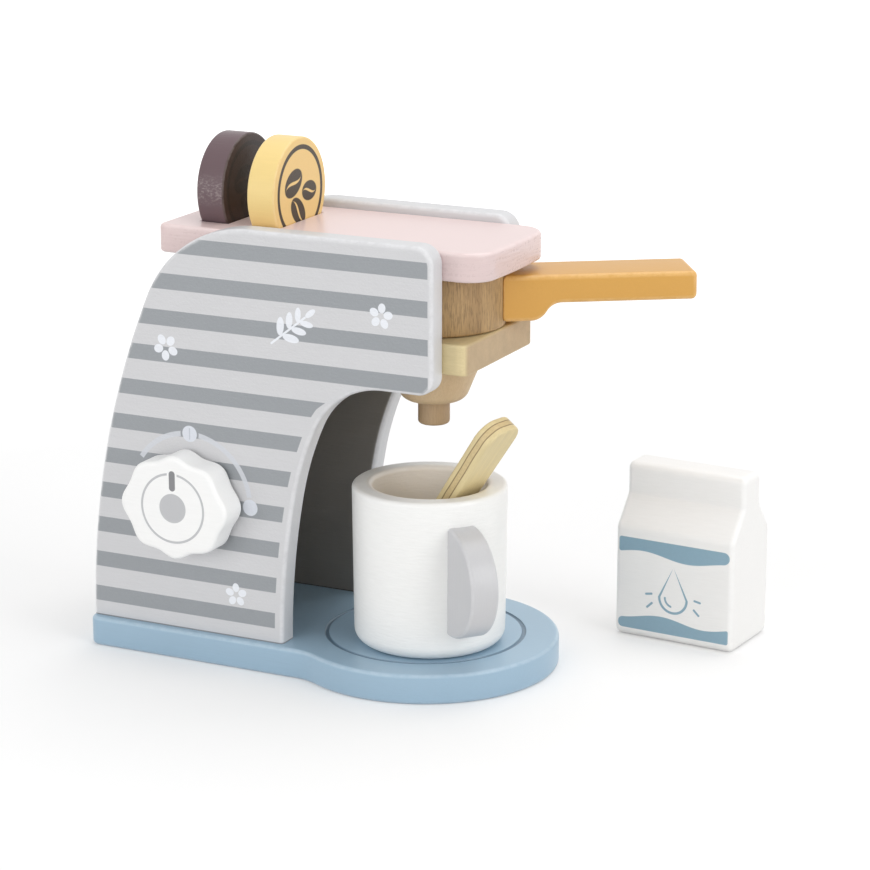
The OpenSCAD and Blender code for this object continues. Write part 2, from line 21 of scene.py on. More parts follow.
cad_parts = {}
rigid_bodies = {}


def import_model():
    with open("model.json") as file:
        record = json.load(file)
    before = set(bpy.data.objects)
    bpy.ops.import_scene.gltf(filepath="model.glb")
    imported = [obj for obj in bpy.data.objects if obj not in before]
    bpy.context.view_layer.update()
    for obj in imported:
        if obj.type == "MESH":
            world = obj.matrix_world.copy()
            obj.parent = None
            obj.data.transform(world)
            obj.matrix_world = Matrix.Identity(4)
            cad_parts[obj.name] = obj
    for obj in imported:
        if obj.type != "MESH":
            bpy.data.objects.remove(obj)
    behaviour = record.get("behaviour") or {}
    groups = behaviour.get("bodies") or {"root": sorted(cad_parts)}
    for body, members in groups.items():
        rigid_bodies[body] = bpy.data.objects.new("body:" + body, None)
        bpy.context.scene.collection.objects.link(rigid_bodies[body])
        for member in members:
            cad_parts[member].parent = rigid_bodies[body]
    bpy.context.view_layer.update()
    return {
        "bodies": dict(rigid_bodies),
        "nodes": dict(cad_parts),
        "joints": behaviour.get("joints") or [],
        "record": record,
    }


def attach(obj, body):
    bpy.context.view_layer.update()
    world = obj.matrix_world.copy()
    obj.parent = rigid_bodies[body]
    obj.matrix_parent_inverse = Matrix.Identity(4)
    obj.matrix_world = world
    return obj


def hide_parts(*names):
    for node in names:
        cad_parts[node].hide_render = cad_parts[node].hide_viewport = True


Array = np.ndarray
Pair = tuple[float, float]
Pairs = tuple[Pair, ...]
Point = tuple[float, float, float]
Colour = tuple[float, float, float]
Setting = object
Socket = bpy.types.NodeSocket
Material = bpy.types.Material

LOG = logging.getLogger("coffee_maker")

# A millimetre in metres, the distance in metres below which points are merged, the angle from which an
# edge is shaded sharp, and the width of the flat strip that lies next to each rounded edge.
MM = 0.001
WELD = 2e-6
SHARP_ANGLE = math.radians(33)
LIP = 0.5

# Sizes that several pieces share: the base's upper face, half the gap between the side panels and half
# the distance over them, the top board's underside, the knob's axle, the filter's pin and its turn at
# rest, the discs, the cup's axis and the carton's place.
BASE_TOP = 11.0
HALF_GAP = 27.75
HALF_OUTER = 36.75
BOARD_LOW = 148.2
KNOB_AXIS = (-76.0, 60.6)
FILTER_X = 3.4
FILTER_TURN = 33.5
DISC_X = (-75.8, -55.3)
DISC_Z = 169.0
CUP_AXIS = (5.1, -6.85)
CARTON_FOOT = (76.0, 70.4, 0.0)
CARTON_TURN = -4.4


# ---- Plane curves ----


def arc(centre: Pair, radius: float, start: float, end: float, steps: int = 16) -> Array:
    """Points of an arc: the centre plus the radius times cosine and sine of evenly spaced angles.

    Args:
        centre: Middle of the circle.
        radius: Radius of the circle.
        start: First angle in degrees.
        end: Last angle in degrees.
        steps: Number of equal steps between them.

    Returns:
        Array of steps + 1 points.
    """
    angle = np.radians(np.linspace(start, end, steps + 1))
    return np.array(centre) + radius * np.stack([np.cos(angle), np.sin(angle)], 1)


def circle(centre: Pair, radius: float, steps: int = 64) -> Array:
    """Closed circle that runs clockwise, so that a board's material lies to its left.

    Args:
        centre: Middle of the circle.
        radius: Radius of the circle.
        steps: Number of points.

    Returns:
        Array of steps points.
    """
    return arc(centre, radius, 360.0, 0.0, steps=steps)[:-1]


def joined(*parts: Array | list) -> Array:
    """Joins pieces of a closed outline and leaves out points that repeat the one before.

    Args:
        parts: Arrays of points, in order along the outline.

    Returns:
        The closed outline as one array of points.
    """
    points = np.vstack([np.atleast_2d(np.asarray(part, float)) for part in parts])
    step = np.linalg.norm(points - np.roll(points, 1, axis=0), axis=1)
    return points[step > 1e-6]


def rounded_corners(corners: Array, radii: Array, steps: int = 10) -> Array:
    """Polygon with an arc at each corner.

    The arc touches both sides at a distance of radius times the cosine over the sine of the corner's
    half angle; its points turn evenly from one side's normal to the other's.

    Args:
        corners: Corners of the polygon, anticlockwise.
        radii: Radius at each corner; the arc at a hollow corner lies outside the polygon.
        steps: Steps along each arc.

    Returns:
        Array of points of the rounded outline.
    """
    before = np.roll(corners, 1, axis=0) - corners
    after = np.roll(corners, -1, axis=0) - corners
    before = before / np.linalg.norm(before, axis=1)[:, None]
    after = after / np.linalg.norm(after, axis=1)[:, None]
    half = np.arccos(np.clip((before * after).sum(1), -1, 1)) / 2
    middle = before + after
    middle = middle / np.linalg.norm(middle, axis=1)[:, None]
    centre = corners + middle * (radii / np.sin(half))[:, None]
    first = corners + before * (radii / np.tan(half))[:, None] - centre
    last = corners + after * (radii / np.tan(half))[:, None] - centre
    start = np.arctan2(first[:, 1], first[:, 0])
    sweep = (np.arctan2(last[:, 1], last[:, 0]) - start + math.pi) % (2 * math.pi) - math.pi
    angle = start[:, None] + sweep[:, None] * np.linspace(0, 1, steps + 1)
    ring = np.stack([np.cos(angle), np.sin(angle)], 2) * radii[:, None, None]
    return (centre[:, None, :] + ring).reshape(-1, 2)


def encloses(outline: Array, points: Array) -> Array:
    """Which points lie inside a closed outline.

    A level line from each point to the right crosses the outline an odd number of times when the point
    lies inside.

    Args:
        outline: Closed outline; only its first two columns count.
        points: Points with two columns.

    Returns:
        1 for each point inside and 0 for the others.
    """
    here, ahead = outline[:, :2], np.roll(outline[:, :2], -1, axis=0)
    x, y = points[:, :1], points[:, 1:2]
    spans = (here[:, 1] > y) != (ahead[:, 1] > y)
    rise = np.where(spans, ahead[:, 1] - here[:, 1], 1.0)
    across = here[:, 0] + (y - here[:, 1]) * (ahead[:, 0] - here[:, 0]) / rise
    return (spans & (x < across)).sum(1) % 2


def mitres(outline: Array) -> Array:
    """Direction at each point of a closed outline that moves both of its sides inwards by one.

    It is the sum of the two sides' left normals over one plus their product.

    Args:
        outline: Closed outline with its material on the left.

    Returns:
        One vector for each point.
    """
    ahead = np.roll(outline, -1, axis=0) - outline
    ahead = ahead / np.linalg.norm(ahead, axis=1)[:, None]
    normal = np.stack([-ahead[:, 1], ahead[:, 0]], 1)
    behind = np.roll(normal, 1, axis=0)
    return (normal + behind) / (1 + (normal * behind).sum(1))[:, None]


def raised(across: Array, heights: Array) -> Array:
    """Points in space from plane points and the height of their row.

    Args:
        across: Plane points by row and column.
        heights: One height for each row.

    Returns:
        Points by row and column.
    """
    level = np.broadcast_to(heights[:, None, None], across.shape[:2] + (1,))
    return np.concatenate([across, level], axis=2)


def carried(outline: Array, rows: Array) -> Array:
    """Surface of an outline that is carried up: in each row its points move in by the row's inset.

    Args:
        outline: Closed outline with its material on the left.
        rows: Rows of inset and height.

    Returns:
        Points by row and column.
    """
    return raised(outline[None] + rows[:, :1, None] * mitres(outline)[None], rows[:, 1])


def edge_rows(low: float, high: float, low_r: float, high_r: float, steps: int = 6) -> Array:
    """Rows of a board's wall with a quarter round at its lower and upper edge.

    A quarter round moves in by the radius times one minus the sine of an angle and up by the radius
    times one minus its cosine. Next to each flat face lies one more row, so that the face stays flat.

    Args:
        low: Height of the lower face.
        high: Height of the upper face.
        low_r: Radius of the lower edge.
        high_r: Radius of the upper edge.
        steps: Steps of each quarter round.

    Returns:
        Rows of inset, height and edge, where edge is 1 half way round an edge and 0 on the flats.
    """
    angle = np.linspace(0, math.pi / 2, steps + 1)
    inward, along, bulge = 1 - np.sin(angle), 1 - np.cos(angle), np.sin(2 * angle)
    lower = np.stack([low_r * inward, low + low_r * along, bulge], 1)
    upper = np.stack([high_r * inward, high - high_r * along, bulge], 1)[::-1]
    return np.vstack([[low_r + LIP, low, 0], lower, upper, [high_r + LIP, high, 0]])


def round_profile(centre: Pair, radius: float, start: float, end: float, steps: int = 8) -> Array:
    """Arc of a turned profile with its edge value, which is the sine of the share of the way along.

    Args:
        centre: Middle of the arc as distance from the axis and height.
        radius: Radius of the arc.
        start: First angle in degrees.
        end: Last angle in degrees.
        steps: Number of equal steps.

    Returns:
        Rows of distance from the axis, height and edge.
    """
    bulge = np.sin(np.linspace(0, math.pi, steps + 1))
    return np.column_stack([arc(centre, radius, start, end, steps=steps), bulge])


def rod_profile(radius: float, low: float, high: float, edge_r: float) -> Array:
    """Profile of a short round bar with equal quarter rounds at both ends.

    Args:
        radius: Radius of the bar.
        low: Height of its lower end.
        high: Height of its upper end.
        edge_r: Radius of the rounded edges.

    Returns:
        Rows of distance from the axis, height and edge, from the lower end's middle to the upper's.
    """
    flat = radius - edge_r - LIP
    return np.vstack(
        [
            [[0, low, 0], [flat, low, 0]],
            round_profile((radius - edge_r, low + edge_r), edge_r, 270, 360),
            round_profile((radius - edge_r, high - edge_r), edge_r, 0, 90),
            [[flat, high, 0], [0, high, 0]],
        ]
    )


# ---- Places in space ----


class Facing(Enum):
    """Which way a plane drawing and its thickness are laid in space, as the columns of a matrix."""

    UP = ((1, 0, 0), (0, 1, 0), (0, 0, 1))
    RIGHT = ((1, 0, 0), (0, 0, -1), (0, 1, 0))
    FRONT = ((0, 0, 1), (1, 0, 0), (0, 1, 0))
    STICK = ((0, 0, -1), (0, 1, 0), (1, 0, 0))


@dataclass(frozen=True)
class Place:
    """A local frame: its origin, a lean about Y, then a turn about Z, in degrees."""

    origin: Point = (0.0, 0.0, 0.0)
    facing: Facing = Facing.UP
    turn: float = 0.0
    lean: float = 0.0

    def moved(self, points: Array) -> Array:
        """Local points in the row frame.

        Args:
            points: Array of points with three columns, of any leading shape.

        Returns:
            Array of the same shape.
        """
        turn = Matrix.Rotation(math.radians(self.turn), 3, "Z")
        lean = Matrix.Rotation(math.radians(self.lean), 3, "Y")
        axes = np.array(turn @ lean) @ np.array(self.facing.value, float)
        return points @ axes.T + np.array(self.origin)


class Carving:
    """Gathers the surfaces of one piece and welds them into a closed mesh."""

    def __init__(self, place: Place = Place()) -> None:
        """Starts an empty piece.

        Args:
            place: Local frame in which its surfaces are given.
        """
        self.place = place
        self.points: list[Array] = []
        self.values: list[Array] = []
        self.quads: list[Array] = []
        self.triangles: list[Array] = []
        self.count = 0

    def _add(self, points: Array, edge: Array, inset: Array) -> int:
        """Adds points with their edge and inset values.

        Args:
            points: Local points.
            edge: Edge value of each point.
            inset: Distance of each point in from the outline.

        Returns:
            Number of the first of them.
        """
        first = self.count
        self.points.append(self.place.moved(points.reshape(-1, 3)))
        self.values.append(np.stack([edge.ravel(), inset.ravel()], 1))
        self.count += len(self.points[-1])
        return first

    def grid(self, surface: Array, edge: Array, inset: Array | float = 0.0) -> None:
        """Adds a surface of rows that close on themselves, each joined to the next.

        Args:
            surface: Points by row and column.
            edge: Edge values that broadcast to the rows and columns.
            inset: Inset values that broadcast to them.
        """
        rows, columns = surface.shape[:2]
        shape = (rows, columns)
        first = self._add(surface, np.broadcast_to(edge, shape), np.broadcast_to(inset, shape))
        number = first + np.arange(rows * columns).reshape(shape)
        here, right = number, np.roll(number, -1, axis=1)
        self.quads.append(np.stack([here[:-1], right[:-1], right[1:], here[1:]], 2).reshape(-1, 4))

    def cap(self, loops: list[Array], up: bool, inset: float = 0.0) -> None:
        """Fills a flat region between closed loops with triangles.

        Args:
            loops: Outlines in local space, the outer one and its holes.
            up: True where the face looks along the local third axis.
            inset: Inset value of its points.
        """
        flat = [Vector(point[:2]) for loop in loops for point in loop]
        sides, first = [], 0
        for loop in loops:
            number = first + np.arange(len(loop))
            sides += np.stack([number, np.roll(number, -1)], 1).tolist()
            first += len(loop)
        found = delaunay_2d_cdt(flat, sides, [], 0, 1e-6, False)
        points, faces = np.array(found[0]), np.array(found[2])
        middle = points[faces].mean(1)
        faces = faces[sum(encloses(loop, middle) for loop in loops) == 1]
        height = np.full((len(points), 1), loops[0][0, 2])
        edge = np.zeros(len(points))
        first = self._add(np.hstack([points, height]), edge, np.full(len(points), inset))
        self.triangles.append(first + (faces if up else faces[:, ::-1]))

    def prism(self, loops: list[Array], rows: list[Array]) -> None:
        """Adds a board: each outline is carried up its rows, and both ends are filled.

        Args:
            loops: The outline, anticlockwise, then its holes, clockwise.
            rows: Rows of inset, height and edge, one array for each outline.
        """
        first, last = float(rows[0][0, 0]), float(rows[0][-1, 0])
        walls = [carried(outline, row) for outline, row in zip(loops, rows)]
        for number, (wall, row) in enumerate(zip(walls, rows)):
            self.grid(wall, row[:, 2:3], last if number else row[:, :1])
        self.cap([wall[0] for wall in walls], up=False, inset=first)
        self.cap([wall[-1] for wall in walls], up=True, inset=last)

    def turned(self, profile: Array, steps: int = 128) -> Array:
        """Adds a profile turned about the local third axis.

        A point at distance r and height h becomes r cos a, r sin a, h for evenly spaced angles a.

        Args:
            profile: Rows of distance from the axis, height and edge, outside on the right.
            steps: Number of angles.

        Returns:
            The surface's points by row and angle.
        """
        angle = np.linspace(0, 2 * math.pi, steps, endpoint=False)
        ring = np.stack([np.cos(angle), np.sin(angle)], 1)
        surface = raised(profile[:, 0, None, None] * ring[None], profile[:, 1])
        self.grid(surface, profile[:, 2:3])
        return surface

    def piece(self, name: str) -> bpy.types.Object:
        """Writes the gathered surfaces into a mesh object at the origin.

        Args:
            name: Name of the object.

        Returns:
            The object, linked to the scene.
        """
        mesh = bpy.data.meshes.new(name)
        faces = [f.tolist() for part in (self.quads, self.triangles) for block in part for f in block]
        mesh.from_pydata((np.vstack(self.points) * MM).tolist(), [], faces)
        values = np.vstack(self.values).astype(np.float32)
        for column, title in enumerate(("edge", "inset")):
            layer = mesh.attributes.new(title, "FLOAT", "POINT")
            layer.data.foreach_set("value", np.ascontiguousarray(values[:, column]))
        welded = bmesh.new()
        welded.from_mesh(mesh)
        bmesh.ops.remove_doubles(welded, verts=welded.verts, dist=WELD)
        bmesh.ops.dissolve_degenerate(welded, dist=WELD, edges=welded.edges)
        bmesh.ops.recalc_face_normals(welded, faces=welded.faces)
        open_edges = sum(not edge.is_manifold for edge in welded.edges)
        welded.to_mesh(mesh)
        welded.free()
        mesh.shade_smooth()
        mesh.set_sharp_from_angle(angle=SHARP_ANGLE)
        made = bpy.data.objects.new(name, mesh)
        bpy.context.scene.collection.objects.link(made)
        LOG.info("%s: %d faces, %d open edges", name, len(mesh.polygons), open_edges)
        return made


# ---- Shader building ----


class Value:
    """A number that varies over a surface: a socket that takes part in Python's arithmetic."""

    def __init__(self, sheet: "Sheet", socket: Socket) -> None:
        """Wraps an output socket of a node on sheet."""
        self.sheet = sheet
        self.socket = socket

    def __add__(self, other: "Value | float") -> "Value":
        """Sum."""
        return self.sheet.maths("ADD", self, other)

    __radd__ = __add__

    def __sub__(self, other: "Value | float") -> "Value":
        """Difference."""
        return self.sheet.maths("SUBTRACT", self, other)

    def __rsub__(self, other: "Value | float") -> "Value":
        """Difference from a number on the left."""
        return self.sheet.maths("SUBTRACT", other, self)

    def __mul__(self, other: "Value | float") -> "Value":
        """Product."""
        return self.sheet.maths("MULTIPLY", self, other)

    __rmul__ = __mul__

    def __truediv__(self, other: "Value | float") -> "Value":
        """Quotient."""
        return self.sheet.maths("DIVIDE", self, other)

    def __rtruediv__(self, other: "Value | float") -> "Value":
        """Quotient of a number on the left."""
        return self.sheet.maths("DIVIDE", other, self)

    def __neg__(self) -> "Value":
        """Opposite number."""
        return self.sheet.maths("MULTIPLY", self, -1.0)

    def __abs__(self) -> "Value":
        """Size without its sign."""
        return self.sheet.maths("ABSOLUTE", self)

    def at_least(self, other: "Value | float") -> "Value":
        """The larger of the two."""
        return self.sheet.maths("MAXIMUM", self, other)

    def at_most(self, other: "Value | float") -> "Value":
        """The smaller of the two."""
        return self.sheet.maths("MINIMUM", self, other)

    def fraction(self) -> "Value":
        """What is left above the whole number below."""
        return self.sheet.maths("FRACT", self)

    def root(self) -> "Value":
        """Square root."""
        return self.sheet.maths("SQRT", self)

    def cosine(self) -> "Value":
        """Cosine."""
        return self.sheet.maths("COSINE", self)

    def swing(self, amount: float) -> "Value":
        """How far a noise lies from one half, times an amount."""
        return (self - 0.5) * amount

    def above(self, limit: "Value | float", soft: float = 0.05) -> "Value":
        """Mask that is 1 where the value is over the limit, with a soft step.

        Args:
            limit: The limit.
            soft: Half the width of the step.

        Returns:
            The mask, from 0 to 1.
        """
        return self.sheet.maths("ADD", (self - limit) * (0.5 / soft), 0.5, clamp=True)

    def below(self, limit: "Value | float", soft: float = 0.05) -> "Value":
        """Mask that is 1 where the value is under the limit, with a soft step."""
        return 1.0 - self.above(limit, soft=soft)


class Sheet:
    """The node tree of a material or of the world."""

    def __init__(self, owner: Material | bpy.types.World) -> None:
        """Empties the owner's nodes.

        Args:
            owner: The material or world.
        """
        self.owner = owner
        owner.use_nodes = True
        self.tree = owner.node_tree
        self.tree.nodes.clear()

    @classmethod
    def named(cls, name: str) -> "Sheet":
        """Makes a material of that name."""
        return cls(bpy.data.materials.new(name))

    def node(
        self, kind: str, settings: dict[str, Setting], inputs: dict[str | int, Setting]
    ) -> bpy.types.Node:
        """Makes a node: its settings first, then the values or links of its sockets.

        Args:
            kind: Node type.
            settings: Attributes of the node; stops holds a ramp's positions and colours.
            inputs: Sockets by name or number, each with a number, a colour, a socket or a Value.

        Returns:
            The node.
        """
        made = self.tree.nodes.new(kind)
        for key, value in settings.items():
            if key == "stops":
                elements = made.color_ramp.elements
                while len(elements) < len(value):
                    elements.new(0.5)
                for element, (position, colour) in zip(elements, value):
                    element.position, element.color = position, colour
            else:
                setattr(made, key, value)
        for key, value in inputs.items():
            if isinstance(value, Value):
                value = value.socket
            if isinstance(value, Socket):
                self.tree.links.new(value, made.inputs[key])
            else:
                made.inputs[key].default_value = value
        return made

    def maths(
        self, operation: str, a: Value | float, b: Value | float = 0.0, clamp: bool = False
    ) -> Value:
        """A Math node on two numbers.

        Args:
            operation: Name of the operation.
            a: First number.
            b: Second number.
            clamp: True to keep the result from 0 to 1.

        Returns:
            The result.
        """
        made = self.node("ShaderNodeMath", {"operation": operation, "use_clamp": clamp}, {0: a, 1: b})
        return Value(self, made.outputs[0])

    def local(
        self, origin: Point = (0.0, 0.0, 0.0), turn: float = 0.0, lean: float = 0.0
    ) -> Socket:
        """Object coordinates in millimetres in a local frame.

        Args:
            origin: The frame's origin in millimetres.
            turn: Turn about Z in degrees.
            lean: Lean about Y in degrees, before the turn.

        Returns:
            The vector socket.
        """
        coordinates = self.node("ShaderNodeTexCoord", {}, {}).outputs["Object"]
        spots = {
            "Vector": coordinates,
            "Location": tuple(MM * v for v in origin),
            "Rotation": (0.0, math.radians(lean), math.radians(turn)),
            "Scale": (MM, MM, MM),
        }
        return self.node("ShaderNodeMapping", {"vector_type": "TEXTURE"}, spots).outputs[0]

    def split(self, vector: Socket) -> tuple[Value, Value, Value]:
        """The three numbers of a vector.

        Args:
            vector: The vector socket.

        Returns:
            Its numbers.
        """
        made = self.node("ShaderNodeSeparateXYZ", {}, {0: vector})
        x, y, z = (Value(self, socket) for socket in made.outputs)
        return x, y, z

    def scaled(self, vector: Socket, factors: Point) -> Socket:
        """A vector with each of its numbers multiplied."""
        made = self.node("ShaderNodeVectorMath", {"operation": "MULTIPLY"}, {0: vector, 1: factors})
        return made.outputs[0]

    def noise(
        self, vector: Socket, scale: float, detail: float = 2.0, rough: float = 0.5
    ) -> Value:
        """Smooth noise from 0 to 1 about one half.

        Args:
            vector: Where it is read.
            scale: Features per millimetre of that vector.
            detail: Number of finer layers.
            rough: Strength of each finer layer.

        Returns:
            The noise.
        """
        spots = {"Vector": vector, "Scale": scale, "Detail": detail, "Roughness": rough}
        return Value(self, self.node("ShaderNodeTexNoise", {}, spots).outputs[0])

    def attribute(self, name: str) -> Value:
        """A value that the mesh carries."""
        made = self.node("ShaderNodeAttribute", {"attribute_name": name}, {})
        return Value(self, made.outputs["Fac"])

    def edges(self) -> Value:
        """Mask of the rounded edges."""
        return self.attribute("edge").above(0.6, soft=0.35)

    def mix(self, factor: Value | float, a: Setting, b: Setting, kind: str = "MIX") -> Socket:
        """A colour between two colours.

        Args:
            factor: Share of the second.
            a: First colour or socket.
            b: Second colour or socket.
            kind: How they are blended.

        Returns:
            The colour socket.
        """
        settings = {"data_type": "RGBA", "blend_type": kind}
        return self.node("ShaderNodeMix", settings, {0: factor, 6: a, 7: b}).outputs[2]

    def shade(self, colour: Setting, amount: Value) -> Socket:
        """A colour made lighter or darker by a number about 1."""
        grey = self.node("ShaderNodeCombineColor", {}, {0: amount, 1: amount, 2: amount}).outputs[0]
        return self.mix(1.0, colour, grey, "MULTIPLY")

    def mottled(self, colour: Colour, noise: Value, amount: float) -> Socket:
        """A colour that a noise makes lighter and darker by up to half the amount."""
        return self.shade(tone(*colour), 1.0 + noise.swing(amount))

    def surface(
        self,
        colour: Setting,
        rough: Value | float,
        height: Value,
        fixed: dict[str, Setting] | None = None,
    ) -> Material:
        """Ends the tree with a Principled shader.

        Args:
            colour: Base colour or its socket.
            rough: Roughness.
            height: Height of the surface's relief in millimetres.
            fixed: More sockets of the shader that are the same all over.

        Returns:
            The finished material.
        """
        relief = self.node("ShaderNodeBump", {}, {"Strength": 1.0, "Distance": MM, "Height": height})
        inputs: dict[str | int, Setting] = {
            "Base Color": colour,
            "Roughness": rough,
            "Normal": relief.outputs[0],
            **(fixed or {}),
        }
        shader = self.node("ShaderNodeBsdfPrincipled", {}, inputs)
        self.node("ShaderNodeOutputMaterial", {}, {"Surface": shader.outputs[0]})
        return self.owner


def tone(red: float, green: float, blue: float) -> tuple[float, float, float, float]:
    """Linear colour of three display values from 0 to 255: each is undone by the sRGB curve.

    Args:
        red: Red display value.
        green: Green display value.
        blue: Blue display value.

    Returns:
        Red, green, blue and full opacity.
    """
    share = np.array([red, green, blue]) / 255.0
    linear = np.where(share <= 0.04045, share / 12.92, ((share + 0.055) / 1.055) ** 2.4)
    return (float(linear[0]), float(linear[1]), float(linear[2]), 1.0)


def direction(angle: float) -> Pair:
    """Cosine and sine of an angle in degrees."""
    return math.cos(math.radians(angle)), math.sin(math.radians(angle))


def beyond(start: Pair, reach: float, angle: float) -> Pair:
    """The point at a distance from another, in a direction given in degrees."""
    c, s = direction(angle)
    return start[0] + reach * c, start[1] + reach * s


def length(a: Value, b: Value) -> Value:
    """Length of a vector in the plane, the root of the sum of its squares."""
    return (a * a + b * b).root()


def lying(u: Value, v: Value, origin: Pair, heading: Pair) -> tuple[Value, Value]:
    """Coordinates along a heading and to its left: the offset from the origin turned back by it.

    Args:
        u: First coordinate.
        v: Second coordinate.
        origin: Where both new coordinates are 0.
        heading: Cosine and sine of the heading.

    Returns:
        The coordinates along and across.
    """
    c, s = heading
    du, dv = u - origin[0], v - origin[1]
    return du * c + dv * s, dv * c - du * s


def ellipse(u: Value, v: Value, centre: Pair, half: Pair, angle: float = 0.0) -> Value:
    """Size of a point against an ellipse: 1 on its line, less inside.

    Each coordinate in the ellipse's own directions is divided by its half axis; the result is the
    length of that vector.

    Args:
        u: First coordinate.
        v: Second coordinate.
        centre: Centre of the ellipse.
        half: Its two half axes.
        angle: Direction of the first half axis in degrees.

    Returns:
        The size.
    """
    along, across = lying(u, v, centre, direction(angle))
    return length(along / half[0], across / half[1])


def bar(u: Value, v: Value, start: Pair, end: Pair) -> Value:
    """Distance from a straight line between two points.

    The offset from the start is cut to the line's length along it; what is left is the distance.

    Args:
        u: First coordinate.
        v: Second coordinate.
        start: One end of the line.
        end: Its other end.

    Returns:
        The distance.
    """
    long = math.hypot(end[0] - start[0], end[1] - start[1])
    heading = ((end[0] - start[0]) / long, (end[1] - start[1]) / long)
    along, across = lying(u, v, start, heading)
    past = (along - long).at_least(0.0) + (-along).at_least(0.0)
    return length(past, across)


class Grain(Enum):
    """Direction of the wood's fibres, as the density of their noise along each axis."""

    ALONG_X = (0.05, 1.0, 1.0)
    ALONG_Y = (1.0, 0.05, 1.0)
    ALONG_Z = (1.0, 1.0, 0.05)
    AROUND = (0.16, 0.16, 1.0)
    LEVEL = (0.05, 0.12, 1.0)


@dataclass(frozen=True)
class Paint:
    """Satin paint on wood: faint fibres and an even fine texture in the relief, and paler rounded edges
    that stand partly for worn paint and partly for painted highlight.

    Fibres are seen below the height smooth_above, where the paint is also darker by side_shade, a
    painted shade of the sides. Below the height seam it is dark with painted contact shadow. The
    depths are millimetres of relief.
    """

    name: str
    colour: Colour
    # Paler colour of the rounded edges, partly worn paint and partly painted highlight; its strength
    # follows the grain.
    worn: Colour
    grain: Grain = Grain.ALONG_X
    wear: float = 0.5
    rough: float = 0.36
    fibre_scale: float = 1.9
    fibre_depth: float = 0.04
    peel_depth: float = 0.02
    smooth_above: float = 1000.0
    # How much the sides below smooth_above are darkened as painted shade.
    side_shade: float = 0.0
    # Height below which painted contact shadow darkens the paint; the default leaves it out.
    seam: float = -1000.0
    gloss: float = 0.5

    def printed(self, sheet: Sheet, colour: Socket) -> Socket:
        """Adds prints over the paint; plain paint has none."""
        return colour

    def dress(self) -> Material:
        """Builds the material.

        The colour is lightened and darkened by a few per cent by broad noise and by noise stretched
        along the fibres. The relief adds that noise and fine even noise. On rounded edges a patchy
        mask mixes in a paler colour, partly worn paint and partly painted highlight. Above
        smooth_above, on a sanded top, the fibres end.

        Returns:
            The material.
        """
        sheet = Sheet.named(self.name)
        point = sheet.local()
        along = sheet.scaled(point, self.grain.value)
        fibres = sheet.noise(along, scale=self.fibre_scale, detail=3.0, rough=0.55)
        peel = sheet.noise(point, scale=1.1, detail=2.0, rough=0.6)
        cloud = sheet.noise(point, scale=0.03, detail=2.0)
        high = sheet.split(point)[2]
        side = high.below(self.smooth_above, soft=0.4)
        # Broad noise and fibres, and on the sides a painted shade by side_shade.
        amount = 1.0 + cloud.swing(0.05) + side * (fibres.swing(0.07) - self.side_shade)
        colour = sheet.shade(tone(*self.colour), amount)
        colour = self.printed(sheet, colour)
        # Paler rounded edges in patches: partly worn paint, partly painted highlight.
        patchy = sheet.noise(point, scale=0.35, detail=3.0, rough=0.6).above(0.45, soft=0.12)
        worn = sheet.edges() * (0.35 + patchy * 0.65) * self.wear
        colour = sheet.mix(worn, colour, tone(*self.worn))
        # Painted contact shadow: the paint darkens below the height seam.
        colour = sheet.shade(colour, 1.0 - high.below(self.seam, soft=0.08) * 0.6)
        rough = self.rough + side * (peel.swing(0.05) + fibres.swing(0.05))
        height = fibres.swing(self.fibre_depth) * side + peel.swing(self.peel_depth)
        return sheet.surface(colour, rough, height, {"Specular IOR Level": self.gloss})


